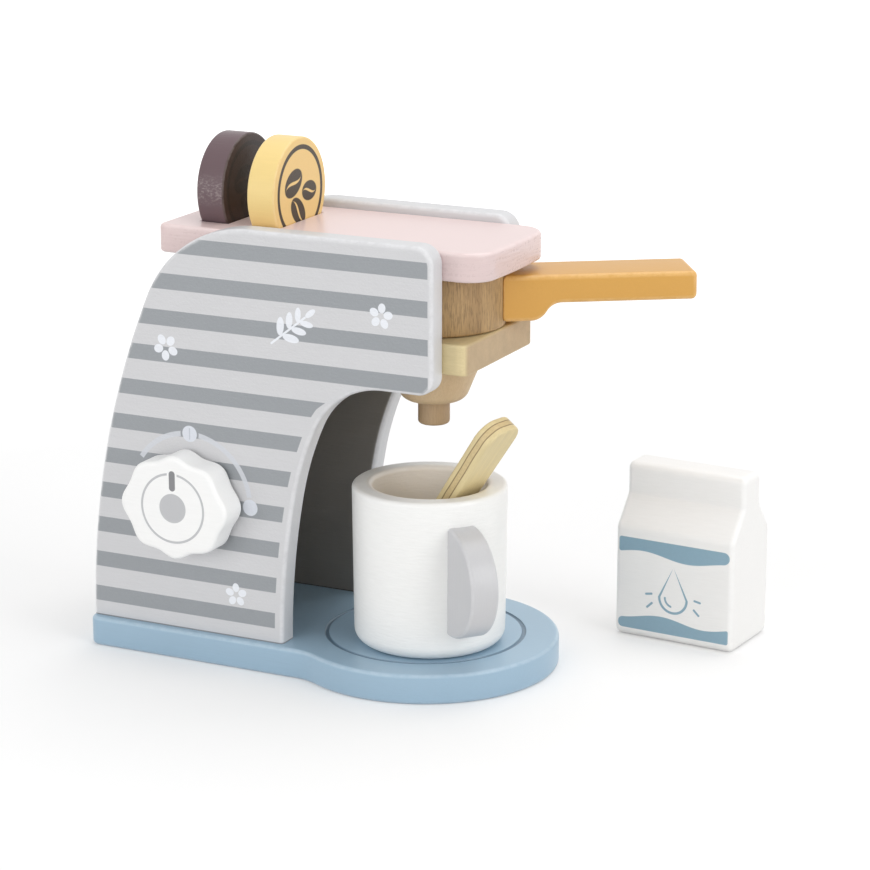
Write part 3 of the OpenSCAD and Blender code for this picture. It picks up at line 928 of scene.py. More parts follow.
@dataclass(frozen=True)
class PanelPaint(Paint):
    """Paint of the knob's panel, with grey stripes, the dial, a sprig and three flowers in white."""

    stripe: Colour = (153, 157, 161)
    white: Colour = (240, 243, 249)
    dial_line: Colour = (213, 216, 222)
    dial_dot: Colour = (224, 228, 236)
    dial_slit: Colour = (178, 184, 194)
    dial_ends: Pair = (8.0, 146.0)
    face_y: float = -30.0
    stripe_top: float = 156.3
    stripe_height: float = 5.78
    pitch: float = 13.39
    count: int = 11
    front_margin: float = 1.8
    arch_margin: float = 3.2
    rear_margin: float = 0.7
    front_end: float = 18.9
    front_part: Pair = (9.0, 130.0)
    arch_part: Pair = (-58.0, 104.0)
    dial: Pair = KNOB_AXIS
    dial_r: float = 24.4
    dial_w: float = 0.95
    dot_r: float = 3.0
    dot_gap: float = 1.25
    slit_half: float = 1.9
    sprig_foot: Pair = (-42.0, 122.0)
    sprig_long: float = 17.0
    sprig_turn: float = 38.0
    leaves: Pairs = ((0.25, 1), (0.3, -1), (0.52, 1), (0.57, -1), (0.78, 1), (0.83, -1), (1.0, 0))
    flowers: tuple[tuple[Pair, float, float], ...] = (
        ((1.0, 136.0), 4.6, 10.0),
        ((-85.0, 116.0), 5.0, 50.0),
        ((-58.0, 27.0), 4.4, 20.0),
    )

    def stripes(self, sheet: Sheet) -> Value:
        """Mask of the stripes: bands at equal steps down the outer face, kept clear of its edges.

        The distance from the outline has to be over a margin, which is wider at the upper front and
        along the arch than at the rear.

        Args:
            sheet: The material's sheet.

        Returns:
            The mask.
        """
        x, y, z = sheet.split(sheet.local())
        near_front = x.above(self.front_part[0], soft=3.0) * z.above(self.front_part[1], soft=3.0)
        near_arch = x.above(self.arch_part[0], soft=0.1) * z.below(self.arch_part[1], soft=4.0)
        margin = self.rear_margin + near_front * (self.front_margin - self.rear_margin)
        margin = margin + near_arch * (self.arch_margin - self.rear_margin)
        area = sheet.attribute("inset").above(margin, soft=0.06)
        area = area * y.below(self.face_y, soft=0.1) * x.below(self.front_end, soft=0.06)
        rows = (self.stripe_top - z) / self.pitch
        stripe = rows.fraction().below(self.stripe_height / self.pitch, soft=0.004)
        stripe = stripe * z.below(self.stripe_top, soft=0.05)
        stripe = stripe * z.above(self.stripe_top - self.pitch * self.count, soft=0.05)
        return stripe * area

    def dial_marks(self, x: Value, z: Value) -> tuple[Value, Value, Value]:
        """Masks of the dial: an arc between two directions, a dot at its top and side, and a slit.

        The arc is where the distance from the axle is near the dial's radius. It ends at the two
        directions and leaves a gap about each dot. The slit lies in the upper dot.

        Args:
            x: First coordinate.
            z: Second coordinate.

        Returns:
            The masks of the arc, the dots and the slit.
        """
        du, dv = x - self.dial[0], z - self.dial[1]
        ring = abs(length(du, dv) - self.dial_r).below(self.dial_w, soft=0.06)
        for end, side in zip(self.dial_ends, (1.0, -1.0)):
            c, s = direction(end)
            past = (du * s - dv * c) * side
            ring = ring * (1.0 - past.above(0.0, soft=0.04) * (du * side).above(0.0, soft=0.04))
        top = (self.dial[0], self.dial[1] + self.dial_r)
        right = (self.dial[0] + self.dial_r, self.dial[1])
        sizes = [ellipse(x, z, middle, (self.dot_r, self.dot_r)) for middle in (top, right)]
        for size in sizes:
            ring = ring * size.above(self.dot_gap, soft=0.03)
        dots = reduce(Value.at_least, [size.below(1.0, soft=0.03) for size in sizes])
        ends = ((top[0], top[1] - self.slit_half), (top[0], top[1] + self.slit_half))
        return ring, dots, bar(x, z, *ends).below(0.22, soft=0.08)

    @staticmethod
    def flower(x: Value, z: Value, centre: Pair, radius: float, angle: float) -> Value:
        """Mask of five round petals about a small gap: ellipses, turned by a fifth of a turn each.

        Args:
            x: First coordinate.
            z: Second coordinate.
            centre: Middle of the flower.
            radius: Its radius.
            angle: Direction of the first petal in degrees.

        Returns:
            The mask.
        """
        petals = []
        half = (0.38 * radius, 0.31 * radius)
        for turn in (angle + 72 * number for number in range(5)):
            petal = ellipse(x, z, beyond(centre, 0.62 * radius, turn), half, turn)
            petals.append(petal.below(1.0, soft=0.04))
        return reduce(Value.at_least, petals)

    def sprig(self, x: Value, z: Value) -> Value:
        """Mask of a stem with seven leaves: a thin bar and slender ellipses that point outwards.

        Args:
            x: First coordinate.
            z: Second coordinate.

        Returns:
            The mask.
        """
        tip = beyond(self.sprig_foot, self.sprig_long, self.sprig_turn)
        marks = [bar(x, z, self.sprig_foot, tip).below(0.38, soft=0.06)]
        for share, side in self.leaves:
            turn = self.sprig_turn + 48 * side
            reach = self.sprig_long * (0.25 - 0.09 * share)
            knot = beyond(self.sprig_foot, self.sprig_long * share, self.sprig_turn)
            half = (reach * 0.86, reach * 0.38)
            marks.append(ellipse(x, z, beyond(knot, reach, turn), half, turn).below(1.0, soft=0.04))
        return reduce(Value.at_least, marks)

    def printed(self, sheet: Sheet, colour: Socket) -> Socket:
        """Prints the stripes, the dial, the sprig and the flowers on the panel's outer face.

        Args:
            sheet: The material's sheet.
            colour: Colour of the paint.

        Returns:
            The printed colour.
        """
        x, y, z = sheet.split(sheet.local())
        cloud = sheet.noise(sheet.local(), scale=1.7, detail=2.0, rough=0.6)
        dark = sheet.mottled(self.stripe, cloud, 0.09)
        colour = sheet.mix(self.stripes(sheet), colour, dark)
        area = y.below(self.face_y, soft=0.1)
        ring, dots, slit = self.dial_marks(x, z)
        plants = [self.sprig(x, z), *(self.flower(x, z, *flower) for flower in self.flowers)]
        white = reduce(Value.at_least, plants)
        for mask, strength, ink in (
            (ring, 0.88, self.dial_line),
            (dots, 0.95, self.dial_dot),
            (slit, 0.6, self.dial_slit),
            (white, 0.92, self.white),
        ):
            colour = sheet.mix(mask * area * strength, colour, tone(*ink))
        return colour


@dataclass(frozen=True)
class NicheShadePaint(Paint):
    """Paint of a panel whose inner face is darkened below the top board, as painted shade of the niche.
    """

    # Painted shade of the niche.
    dark: Colour = (146, 141, 135)
    limit_y: float = 27.85
    limit_z: float = 150.0

    def printed(self, sheet: Sheet, colour: Socket) -> Socket:
        """Darkens the face towards the niche as painted shade.

        Args:
            sheet: The material's sheet.
            colour: Colour of the paint.

        Returns:
            The colour with the dark inner face.
        """
        _, y, z = sheet.split(sheet.local())
        # Painted shade: the inner face is darkened in the niche, below the top board.
        inner = abs(y).below(self.limit_y, soft=0.06) * z.below(self.limit_z, soft=1.0)
        return sheet.mix(inner, colour, tone(*self.dark))


@dataclass(frozen=True)
class KnobPaint(Paint):
    """White paint of the knob with a thin grey ring and a pointer."""

    centre: Pair = KNOB_AXIS
    face_y: float = -49.0
    ring_r: float = 12.6
    ring_w: float = 0.42
    disc_r: float = 5.4
    pointer_ends: Pair = (7.6, 12.6)
    pointer_half: float = 1.25
    pointer_gap: float = 2.0
    mark: Colour = (186, 187, 190)
    pointer: Colour = (112, 112, 116)

    def printed(self, sheet: Sheet, colour: Socket) -> Socket:
        """Prints a ring, a disc and a pointer on the knob's face.

        Args:
            sheet: The material's sheet.
            colour: Colour of the paint.

        Returns:
            The printed colour.
        """
        x, y, z = sheet.split(sheet.local((self.centre[0], 0.0, self.centre[1])))
        face = y.below(self.face_y, soft=0.1)
        away = length(x, z)
        low, high = self.pointer_ends
        off = bar(x, z, (0.0, low), (0.0, high))
        ring = abs(away - self.ring_r).below(self.ring_w, soft=0.08)
        ring = ring * (1.0 - off.below(self.pointer_gap, soft=0.08))
        mark = ring.at_least(away.below(self.disc_r, soft=0.08))
        colour = sheet.mix(mark * face * 0.9, colour, tone(*self.mark))
        line = off.below(self.pointer_half, soft=0.08)
        return sheet.mix(line * face * 0.9, colour, tone(*self.pointer))


@dataclass(frozen=True)
class BasePaint(Paint):
    """Blue paint of the base with a darker groove where the cup stands."""

    ring: Colour = (104, 128, 148)
    ring_mid: float = 35.9
    ring_half: float = 0.8
    groove_z: float = 9.5

    def printed(self, sheet: Sheet, colour: Socket) -> Socket:
        """Darkens the ring groove on the upper face.

        Args:
            sheet: The material's sheet.
            colour: Colour of the paint.

        Returns:
            The colour with the ring.
        """
        x, y, z = sheet.split(sheet.local())
        ring = abs(length(x, y) - self.ring_mid).below(self.ring_half, soft=0.12)
        return sheet.mix(ring * z.above(self.groove_z, soft=0.1) * 0.9, colour, tone(*self.ring))


@dataclass(frozen=True)
class DiscPaint(Paint):
    """Paint of a coffee disc with a ring and three coffee beans on its front face."""

    centre: Point = (0.0, 0.0, DISC_Z)
    face_tone: Colour = (236, 202, 134)
    ink: Colour = (45, 37, 35)
    # Strength of a painted highlight streaked along one side of the rim.
    rim_highlight: float = 0.0
    ring_in: float = 15.1
    ring_out: float = 16.8
    face: float = 4.9
    # Middle and half axes of the painted rim highlight.
    rim_highlight_at: Pair = (-18.0, 1.5)
    rim_highlight_half: Pair = (6.0, 4.0)
    beans: tuple[tuple[Pair, Pair, float], ...] = (
        ((-4.9, 3.6), (6.8, 4.5), 24.7),
        ((6.7, -0.7), (5.4, 3.6), -1.0),
        ((-1.7, -6.9), (6.3, 4.0), -43.2),
    )

    @staticmethod
    def bean(u: Value, v: Value, centre: Pair, half: Pair, angle: float) -> Value:
        """Mask of a bean: an ellipse without a slender slit that bends along its middle.

        Args:
            u: First coordinate.
            v: Second coordinate.
            centre: Middle of the bean.
            half: Its half axes.
            angle: Direction of its length in degrees.

        Returns:
            The mask.
        """
        along, across = lying(u, v, centre, direction(angle))
        along, across = along / half[0], across / half[1]
        body = length(along, across).below(1.0, soft=0.03)
        bent = across + along * (1.0 - along * along) * 0.62
        width = 0.2 * (0.68 - along * along).at_least(0.0)
        slit = (width - abs(bent)).above(0.0, soft=0.03)
        return body * (1.0 - slit)

    def printed(self, sheet: Sheet, colour: Socket) -> Socket:
        """Prints the ring and the beans and paints a streaky highlight on one side of the rim.

        Args:
            sheet: The material's sheet.
            colour: Colour of the paint.

        Returns:
            The printed colour.
        """
        x, u, v = sheet.split(sheet.local(self.centre))
        # Painted highlight: streaks of the paler edge colour on one side of the rim.
        glint_space = sheet.scaled(sheet.local(), (0.5, 1.0, 1.0))
        glints = sheet.noise(glint_space, scale=1.5, detail=4.0, rough=0.7).above(0.55, soft=0.06)
        highlight_area = ellipse(u, v, self.rim_highlight_at, self.rim_highlight_half).below(1.1, soft=0.5)
        colour = sheet.mix(glints * highlight_area * self.rim_highlight, colour, tone(*self.worn))
        # The front face's own tone; on the dark disc it is partly painted shadow of the yellow disc in
        # front of it.
        face = sheet.mottled(self.face_tone, sheet.noise(sheet.local(), scale=1.6, detail=3.0), 0.08)
        colour = sheet.mix(x.above(self.face, soft=0.25), colour, face)
        middle, half = (self.ring_in + self.ring_out) / 2, (self.ring_out - self.ring_in) / 2
        ring = abs(length(u, v) - middle).below(half, soft=0.08)
        mark = reduce(Value.at_least, [ring, *(self.bean(u, v, *bean) for bean in self.beans)])
        ink = sheet.mottled(self.ink, sheet.noise(sheet.local(), scale=1.2), 0.12)
        return sheet.mix(mark * x.above(self.face, soft=0.1) * 0.96, colour, ink)


@dataclass(frozen=True)
class CartonPaint(Paint):
    """White paint of the carton with two wavy blue bands and a drop between them."""

    origin: Point = CARTON_FOOT
    turn: float = CARTON_TURN
    face_y: float = -15.4
    band: Colour = (131, 166, 184)
    half_long: float = 22.5
    wave: float = 1.22
    drop_at: Pair = (0.0, 17.4)
    drop_r: float = 5.6
    drop_tip: float = 2.15
    glint_r: float = 3.3
    splashes: tuple[tuple[Pair, Pair], ...] = (((10.5, 12.6), (8.6, 14.4)), ((11.0, 17.6), (8.8, 18.0)))

    def wavy(
        self,
        x: Value,
        z: Value,
        flat: float,
        level: float,
        crest: float,
        half_wave: float,
        corners: Pair,
    ) -> Value:
        """Mask of a band with one straight and one wavy side and rounded ends.

        The wavy side is a cosine about its level. The mask is a box with rounded corners about the
        middle line between both sides.

        Args:
            x: Coordinate along the band.
            z: Height.
            flat: Height of the straight side.
            level: Mean height of the wavy side.
            crest: Where along the band the wave is highest.
            half_wave: Length from its highest to its lowest point.
            corners: Radius of the corners at the left and at the right end.

        Returns:
            The mask.
        """
        wave = ((x - crest) * (math.pi / half_wave)).cosine() * self.wave + level
        middle = (wave + flat) * 0.5
        half = abs(wave - flat) * 0.5
        radius = corners[0] + x.above(0.0, soft=0.1) * (corners[1] - corners[0])
        radius = radius.at_most(half)
        out_x = abs(x) - (self.half_long - radius)
        out_z = abs(z - middle) - (half - radius)
        past_x, past_z = out_x.at_least(0.0), out_z.at_least(0.0)
        size = length(past_x, past_z) + out_x.at_least(out_z).at_most(0.0)
        return size.below(radius, soft=0.08)

    def drop(self, x: Value, z: Value) -> Value:
        """Size of a point against a milk drop: a circle that narrows to a tip above.

        Above the middle the width is divided by what is left of the way to the tip, and no height is
        counted; below it the size is a circle's.

        Args:
            x: Coordinate across.
            z: Height.

        Returns:
            The size, 1 on the drop's line.
        """
        du, dv = (x - self.drop_at[0]) / self.drop_r, (z - self.drop_at[1]) / self.drop_r
        upper, lower = dv.at_least(0.0), dv.at_most(0.0)
        narrow = 1.0 - upper / self.drop_tip
        wide = abs(du) / narrow.at_least(0.02)
        return length(wide, lower) + upper.above(self.drop_tip, soft=0.02) * 2.0

    def printed(self, sheet: Sheet, colour: Socket) -> Socket:
        """Prints the bands and the drop on the carton's near face.

        Args:
            sheet: The material's sheet.
            colour: Colour of the paint.

        Returns:
            The printed colour.
        """
        x, y, z = sheet.split(sheet.local(self.origin, self.turn))
        line = abs(self.drop(x, z) - 1.0).below(0.085, soft=0.015)
        glint = ellipse(x, z, self.drop_at, (self.glint_r, self.glint_r))
        glint = abs(glint - 1.0).below(0.12, soft=0.02) * x.below(-0.6, soft=0.1)
        glint = glint * z.below(17.6, soft=0.1)
        splash = [
            bar(x, z, (side * far, low), (side * near, high))
            for (far, low), (near, high) in self.splashes
            for side in (-1.0, 1.0)
        ]
        marks = [
            self.wavy(x, z, flat=38.5, level=32.72, crest=-12.7, half_wave=18.2, corners=(1.2, 3.1)),
            self.wavy(x, z, flat=3.2, level=8.42, crest=-5.0, half_wave=17.3, corners=(2.4, 0.8)),
            line,
            glint,
            reduce(Value.at_most, splash).below(0.42, soft=0.08),
        ]
        mark = reduce(Value.at_least, marks)
        ink = sheet.mottled(self.band, sheet.noise(sheet.local(), scale=0.9), 0.08)
        return sheet.mix(mark * y.below(self.face_y, soft=0.1) * 0.95, colour, ink)


@dataclass(frozen=True)
class CupPaint(Paint):
    """White paint of the cup with a creamy inside and lines left by turning."""

    axis: Pair = CUP_AXIS
    inside: Colour = (248, 241, 231)
    rim_r: float = 22.0
    outside_z: float = 18.0

    def printed(self, sheet: Sheet, colour: Socket) -> Socket:
        """Tints the rim and the inside.

        Args:
            sheet: The material's sheet.
            colour: Colour of the paint.

        Returns:
            The tinted colour.
        """
        x, y, z = sheet.split(sheet.local((*self.axis, 0.0)))
        inner = length(x, y).below(self.rim_r, soft=1.3) * z.above(self.outside_z, soft=0.5)
        return sheet.mix(inner, colour, tone(*self.inside))


@dataclass(frozen=True)
class BareWood:
    """Bare wood: broad and fine streaks along the fibres, small dark pores and faint year rings."""

    name: str
    pale: Colour
    dark: Colour
    grain: Grain = Grain.ALONG_Z
    pore: float = 0.5
    origin: Point = (0.0, 0.0, 0.0)
    turn: float = 0.0
    rough: float = 0.55
    fine: float = 0.2
    end_x: float | None = None
    end_tone: Colour = (196, 182, 152)

    def end_grain(self, sheet: Sheet, point: Socket, colour: Setting) -> Socket:
        """Covers the end face in front of end_x with speckled and blotchy end grain.

        Args:
            sheet: The material's sheet.
            point: Place in the wood's own frame.
            colour: Colour of the long grain.

        Returns:
            The colour with the end grain and, next to it, a corner made paler as a painted highlight.
        """
        x, _, _ = sheet.split(point)
        speck = sheet.noise(point, scale=1.5, detail=3.0, rough=0.65)
        blotch = sheet.noise(point, scale=0.16, detail=3.0, rough=0.6)
        grain = sheet.shade(tone(*self.end_tone), 1.0 + speck.swing(0.16) + blotch.swing(0.4))
        # Painted highlight: the rounded corner before the end face is made paler.
        colour = sheet.shade(colour, 1.0 + x.above(self.end_x - 3.2, soft=0.7) * 0.09)
        return sheet.mix(x.above(self.end_x, soft=0.4), colour, grain)

    def dress(self) -> Material:
        """Builds the material.

        Broad and fine noise stretched along the fibres gives the share of the pale colour, still
        longer noise over a limit gives the pores, and very fine noise the last variation of tone. The
        relief follows the streaks and sinks at the pores.

        Returns:
            The material.
        """
        sheet = Sheet.named(self.name)
        point = sheet.local(self.origin, self.turn)
        along = sheet.scaled(point, self.grain.value)
        broad = sheet.noise(along, scale=0.13, detail=2.0)
        streak = sheet.noise(along, scale=1.3, detail=4.0, rough=0.65)
        fine = sheet.noise(along, scale=8.0, detail=2.0, rough=0.6)
        share = (broad * 0.6 + streak * 0.4 - 0.5) * 2.6 + 0.5
        colour = sheet.mix(share.at_least(0.0).at_most(1.0), tone(*self.dark), tone(*self.pale))
        lines = sheet.scaled(point, tuple(0.09 if f < 0.5 else 1.0 for f in self.grain.value))
        pores = sheet.noise(lines, scale=2.7, detail=2.0, rough=0.6).above(0.56, soft=0.07) * self.pore
        colour = sheet.mix(pores * 0.6, colour, tone(*(0.66 * v for v in self.dark)))
        colour = sheet.shade(colour, 1.0 + fine.swing(self.fine))
        if self.end_x is not None:
            colour = self.end_grain(sheet, point, colour)
        light = tone(*(min(255.0, 1.12 * v) for v in self.pale))
        colour = sheet.mix(sheet.edges() * 0.18, colour, light)
        height = streak.swing(0.07) + fine.swing(0.04) - pores * 0.05
        return sheet.surface(colour, self.rough + fine.swing(0.2), height)


@dataclass(frozen=True)
class Plywood:
    """Three plies with thin glue lines, seen at the edges of a flat stick."""

    name: str
    rim: Point
    turn: float
    lean: float
    thick: float
    face: Colour = (223, 205, 157)
    core: Colour = (212, 190, 142)
    glue: Colour = (122, 98, 66)
    core_half: float = 0.165
    glue_mid: float = 0.17
    glue_half: float = 0.03

    def dress(self) -> Material:
        """Builds the material.

        Depth through the stick, as a share of its thickness from the middle, gives the plies: the
        middle third has its fibres across and is darker, and a thin line of glue lies at each side.

        Returns:
            The material.
        """
        sheet = Sheet.named(self.name)
        point = sheet.local(self.rim, self.turn, self.lean)
        x, _, _ = sheet.split(point)
        long = sheet.noise(sheet.scaled(point, (1.0, 1.0, 0.05)), scale=1.0, detail=3.0, rough=0.6)
        across = sheet.noise(sheet.scaled(point, (1.0, 0.4, 1.0)), scale=1.3, detail=3.0, rough=0.6)
        wobble = sheet.noise(point, scale=0.12, detail=1.0).swing(0.5)
        depth = abs(x + self.thick / 2 + wobble) / self.thick
        middle = depth.below(self.core_half, soft=0.012)
        glue = abs(depth - self.glue_mid).below(self.glue_half, soft=0.014)
        colour = sheet.mottled(self.face, long, 0.3)
        colour = sheet.mix(middle, colour, sheet.mottled(self.core, across, 0.45))
        colour = sheet.mix(glue * 0.8, colour, tone(*self.glue))
        height = long.swing(0.06) - glue * 0.04
        return sheet.surface(colour, 0.5 + long.swing(0.2), height)


@dataclass(frozen=True)
class Felt:
    """Pressed felt: soft speckled fibres without gloss."""

    name: str
    colour: Colour

    def dress(self) -> Material:
        """Builds the material.

        Returns:
            The material.
        """
        sheet = Sheet.named(self.name)
        fuzz = sheet.noise(sheet.local(), scale=2.4, detail=4.0, rough=0.7)
        colour = sheet.mottled(self.colour, fuzz, 0.35)
        return sheet.surface(colour, 0.95, fuzz.swing(0.25))


@dataclass(frozen=True)
class Steel:
    """Zinc-plated steel of the screws: fine turning marks and a slight stain."""

    name: str
    colour: Colour = (188, 190, 196)

    def dress(self) -> Material:
        """Builds the material.

        Returns:
            The material.
        """
        sheet = Sheet.named(self.name)
        marks = sheet.noise(sheet.scaled(sheet.local(), (0.3, 0.3, 4.0)), scale=1.5, detail=3.0)
        stain = sheet.noise(sheet.local(), scale=0.3, detail=2.0)
        colour = sheet.mottled(self.colour, stain, 0.2)
        return sheet.surface(colour, 0.3 + marks.swing(0.3), marks.swing(0.02), {"Metallic": 1.0})


# ---- The toy's pieces ----


Finish = Paint | BareWood | Plywood | Felt | Steel


def fit(piece: bpy.types.Object, finish: Finish, body: str, slot: str, *nodes: str) -> None:
    """Dresses a piece, lets it ride on its body and stand for its nodes.

    Args:
        piece: The piece.
        finish: Its finish.
        body: Body that it moves with.
        slot: The record's material slot; not used.
        nodes: Nodes that it replaces.
    """
    piece.data.materials.append(finish.dress())
    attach(piece, body)
    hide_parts(*nodes)


@dataclass
class Base:
    """Base board with the round cup rest, its ring groove and the screw holes from below."""

    thick: float = BASE_TOP
    rest_r: float = 48.6
    half_width: float = 40.0
    back: float = -119.1
    hollow_r: float = 20.0
    corner_r: float = 4.0
    ring_r: float = 36.7
    ring_w: float = 1.6
    ring_d: float = 0.6
    edge_r: float = 1.5
    hole_r: float = 4.0
    hole_bevel: float = 0.3
    hole_straight: float = 0.8
    seat_z: float = 3.6
    screw_r: float = 2.0
    hole_x: Pair = (-105.6, -52.1)
    hole_y: float = 32.25

    def outline(self) -> Array:
        """Outline from above: the rest's circle, a hollow fillet on each side and the rear part.

        Returns:
            The closed outline, anticlockwise.
        """
        reach, drop = self.rest_r + self.hollow_r, self.half_width + self.hollow_r
        x = -math.sqrt(reach**2 - drop**2)
        meet = math.degrees(math.atan2(drop, -x))
        rear_x, rear_y = self.back + self.corner_r, self.half_width - self.corner_r
        return joined(
            arc((rear_x, -rear_y), self.corner_r, 180, 270),
            arc((x, -drop), self.hollow_r, 90, meet, steps=14),
            arc((0, 0), self.rest_r, meet - 180, 180 - meet, steps=180),
            arc((x, drop), self.hollow_r, -meet, -90, steps=14),
            arc((rear_x, rear_y), self.corner_r, 90, 180),
        )

    def groove(self) -> Array:
        """Profile of the ring groove, half an ellipse, and of the flat rest inside it.

        Returns:
            Rows of distance from the axis, height and edge.
        """
        angle = np.linspace(0, math.pi, 13)
        across = self.ring_r - self.ring_w / 2 + self.ring_w / 2 * np.cos(angle)
        down = self.thick - self.ring_d * np.sin(angle)
        hollow = np.stack([across, down, np.zeros_like(angle)], 1)
        inner = self.ring_r - self.ring_w - LIP
        return np.vstack([hollow, [[inner, self.thick, 0], [0, self.thick, 0]]])

    def make(self) -> None:
        """Builds the base and dresses it in blue paint."""
        work = Carving()
        rows = edge_rows(0, self.thick, self.edge_r, self.edge_r)
        wall = carried(self.outline(), rows)
        work.grid(wall, rows[:, 2:3], rows[:, :1])
        inward = self.screw_r - self.hole_r
        high = (0, self.hole_bevel, self.hole_straight, self.seat_z, self.thick)
        seat = np.column_stack([(self.hole_bevel, 0, 0, inward, inward), high])
        spots = [(x, y) for x in self.hole_x for y in (-self.hole_y, self.hole_y)]
        holes = [carried(circle(spot, self.hole_r, steps=40), seat) for spot in spots]
        for hole in holes:
            work.grid(hole, 0.0)
        rest = work.turned(self.groove(), steps=180)
        inset = self.edge_r + LIP
        work.cap([wall[0], *(hole[0] for hole in holes)], up=False, inset=inset)
        work.cap([wall[-1], *(hole[-1] for hole in holes), rest[0][::-1]], up=True, inset=inset)
        paint = BasePaint(
            "blue_paint", (159, 187, 207), (200, 216, 228), wear=0.4, rough=0.32, fibre_depth=0.05
        )
        fit(work.piece("base_painted"), paint, "machine", "base_paint", "base_board")


class Side(Enum):
    """The two side panels, by the names of their nodes."""

    KNOB = "knob_side_panel"
    PLAIN = "plain_side_panel"


@dataclass
class SidePanel:
    """A side panel: long curved back, arch below the chin, rounded edges."""

    side: Side
    half_gap: float = HALF_GAP
    half_outer: float = HALF_OUTER
    hole_r: float = 4.08
    foot: float = BASE_TOP
    height: float = 150.5
    chin: float = 98.2
    front: float = 20.6
    back: float = 118.6
    arch_foot: float = 39.1
    back_r: float = 309.0
    top_back_r: float = 46.0
    top_front_r: float = 7.0
    chin_r: float = 6.0
    arch_r: tuple[float, float, float] = (290.0, 116.0, 29.0)
    arch_lean: float = 24.5
    edge_r: float = 1.75
    print_margins: Pair = (1.8, 3.2)
    axle: Pair = (KNOB_AXIS[0], KNOB_AXIS[1] - BASE_TOP)
    sunk: float = 4.6
    # Height below which the paint is darkened as painted contact shadow where the panel meets the base.
    seam: float = 11.4
    grey: Colour = (211, 211, 213)
    # Paler grey of the panel's rounded edges, partly worn paint and partly painted highlight.
    worn_grey: Colour = (234, 234, 236)

    def outline(self) -> Array:
        """Outline from the side, with height 0 at the base's upper face.

        The arch is made of three arcs that meet with equal slopes, and the back of a long arc and a
        smaller one at its top. The foot lies a little lower, inside the base, so that the panel meets
        the base squarely.

        Returns:
            The closed outline, anticlockwise.
        """
        low_r, mid_r, top_r = self.arch_r
        lean = math.radians(self.arch_lean)
        rise = self.chin - mid_r * math.sin(lean) - top_r * (1 - math.sin(lean))
        low_lean = math.asin(rise / (low_r - mid_r))
        low_c = np.array([low_r - self.arch_foot, 0.0])
        mid_c = low_c + (low_r - mid_r) * np.array([-math.cos(low_lean), math.sin(low_lean)])
        top_c = mid_c + (mid_r - top_r) * np.array([-math.cos(lean), math.sin(lean)])
        back_c = np.array([self.back_r - self.back, 0.0])
        front_r, corner_z = self.top_front_r, self.height - self.top_back_r
        reach = math.sqrt((self.back_r - self.top_back_r) ** 2 - corner_z**2)
        corner = np.array([back_c[0] - reach, corner_z])
        touch = math.degrees(math.atan2(corner_z, -reach))
        return joined(
            [(-self.back, -self.sunk), (-self.arch_foot, -self.sunk)],
            arc(low_c, low_r, 180, 180 - math.degrees(low_lean), steps=24),
            arc(mid_c, mid_r, 180 - math.degrees(low_lean), 180 - self.arch_lean, steps=16),
            arc(top_c, top_r, 180 - self.arch_lean, 90, steps=24),
            arc((self.front - self.chin_r, self.chin + self.chin_r), self.chin_r, 270, 360),
            arc((self.front - front_r, self.height - front_r), front_r, 0, 90),
            arc(corner, self.top_back_r, 90, touch, steps=32),
            arc(back_c, self.back_r, touch, 180, steps=48),
        )

    def make(self) -> None:
        """Builds the panel and dresses it: striped on the knob's side, and on the other dark inside as
        painted shade of the niche.

        The outer face has further rows at the margins of its print, so that the inset value is exact
        there.
        """
        work = Carving(Place((0.0, 0.0, self.foot), Facing.RIGHT))
        low, high = self.half_gap, self.half_outer
        if self.side is Side.PLAIN:
            low, high = -high, -low
        near, far = self.print_margins
        rows = edge_rows(low, high, self.edge_r, self.edge_r)
        rows = np.vstack([rows, [[inset, high, 0] for inset in (near + LIP, far, far + LIP)]])
        loops, stations = [self.outline()], [rows]
        if self.side is Side.KNOB:
            loops.append(circle(self.axle, self.hole_r, steps=48))
            stations.append(np.array([[0, low, 0], [0, high, 0]], float))
        work.prism(loops, stations)
        # The plain panel's inner face gets painted niche shade.
        kind, look = NicheShadePaint, {"name": "grey_paint"}
        if self.side is Side.KNOB:
            kind, look = PanelPaint, {"name": "striped_paint", "rough": 0.31, "peel_depth": 0.14}
        paint = kind(colour=self.grey, worn=self.worn_grey, wear=0.6, seam=self.seam, **look)
        piece = work.piece(f"{self.side.value}_painted")
        fit(piece, paint, "machine", "panel_paint", self.side.value)


@dataclass
class BackBoard:
    """Inclined board between the panels that closes the niche."""

    half_gap: float = HALF_GAP
    foot: float = BASE_TOP
    head: float = BOARD_LOW
    foot_x: float = -107.986
    lean: float = 13.5
    thick: float = 8.0
    edge_r: float = 0.3

    def make(self) -> None:
        """Builds the board, a leaning band cut level at both ends, in dark grey paint that is painted
        shade of the niche.
        """
        half = self.thick / (2 * math.cos(math.radians(self.lean)))
        head_x = self.foot_x + (self.head - self.foot) * math.tan(math.radians(self.lean))
        corners = [
            (self.foot_x - half, self.foot),
            (self.foot_x + half, self.foot),
            (head_x + half, self.head),
            (head_x - half, self.head),
        ]
        work = Carving(Place(facing=Facing.RIGHT))
        rows = edge_rows(-self.half_gap, self.half_gap, self.edge_r, self.edge_r, steps=3)
        work.prism([np.array(corners)], [rows])
        # Dark grey paint as painted shade of the niche.
        paint = Paint("niche_shade_paint", (150, 145, 139), (160, 155, 149), Grain.ALONG_Z)
        fit(work.piece("back_board_painted"), paint, "machine", "inner_paint", "back_board")


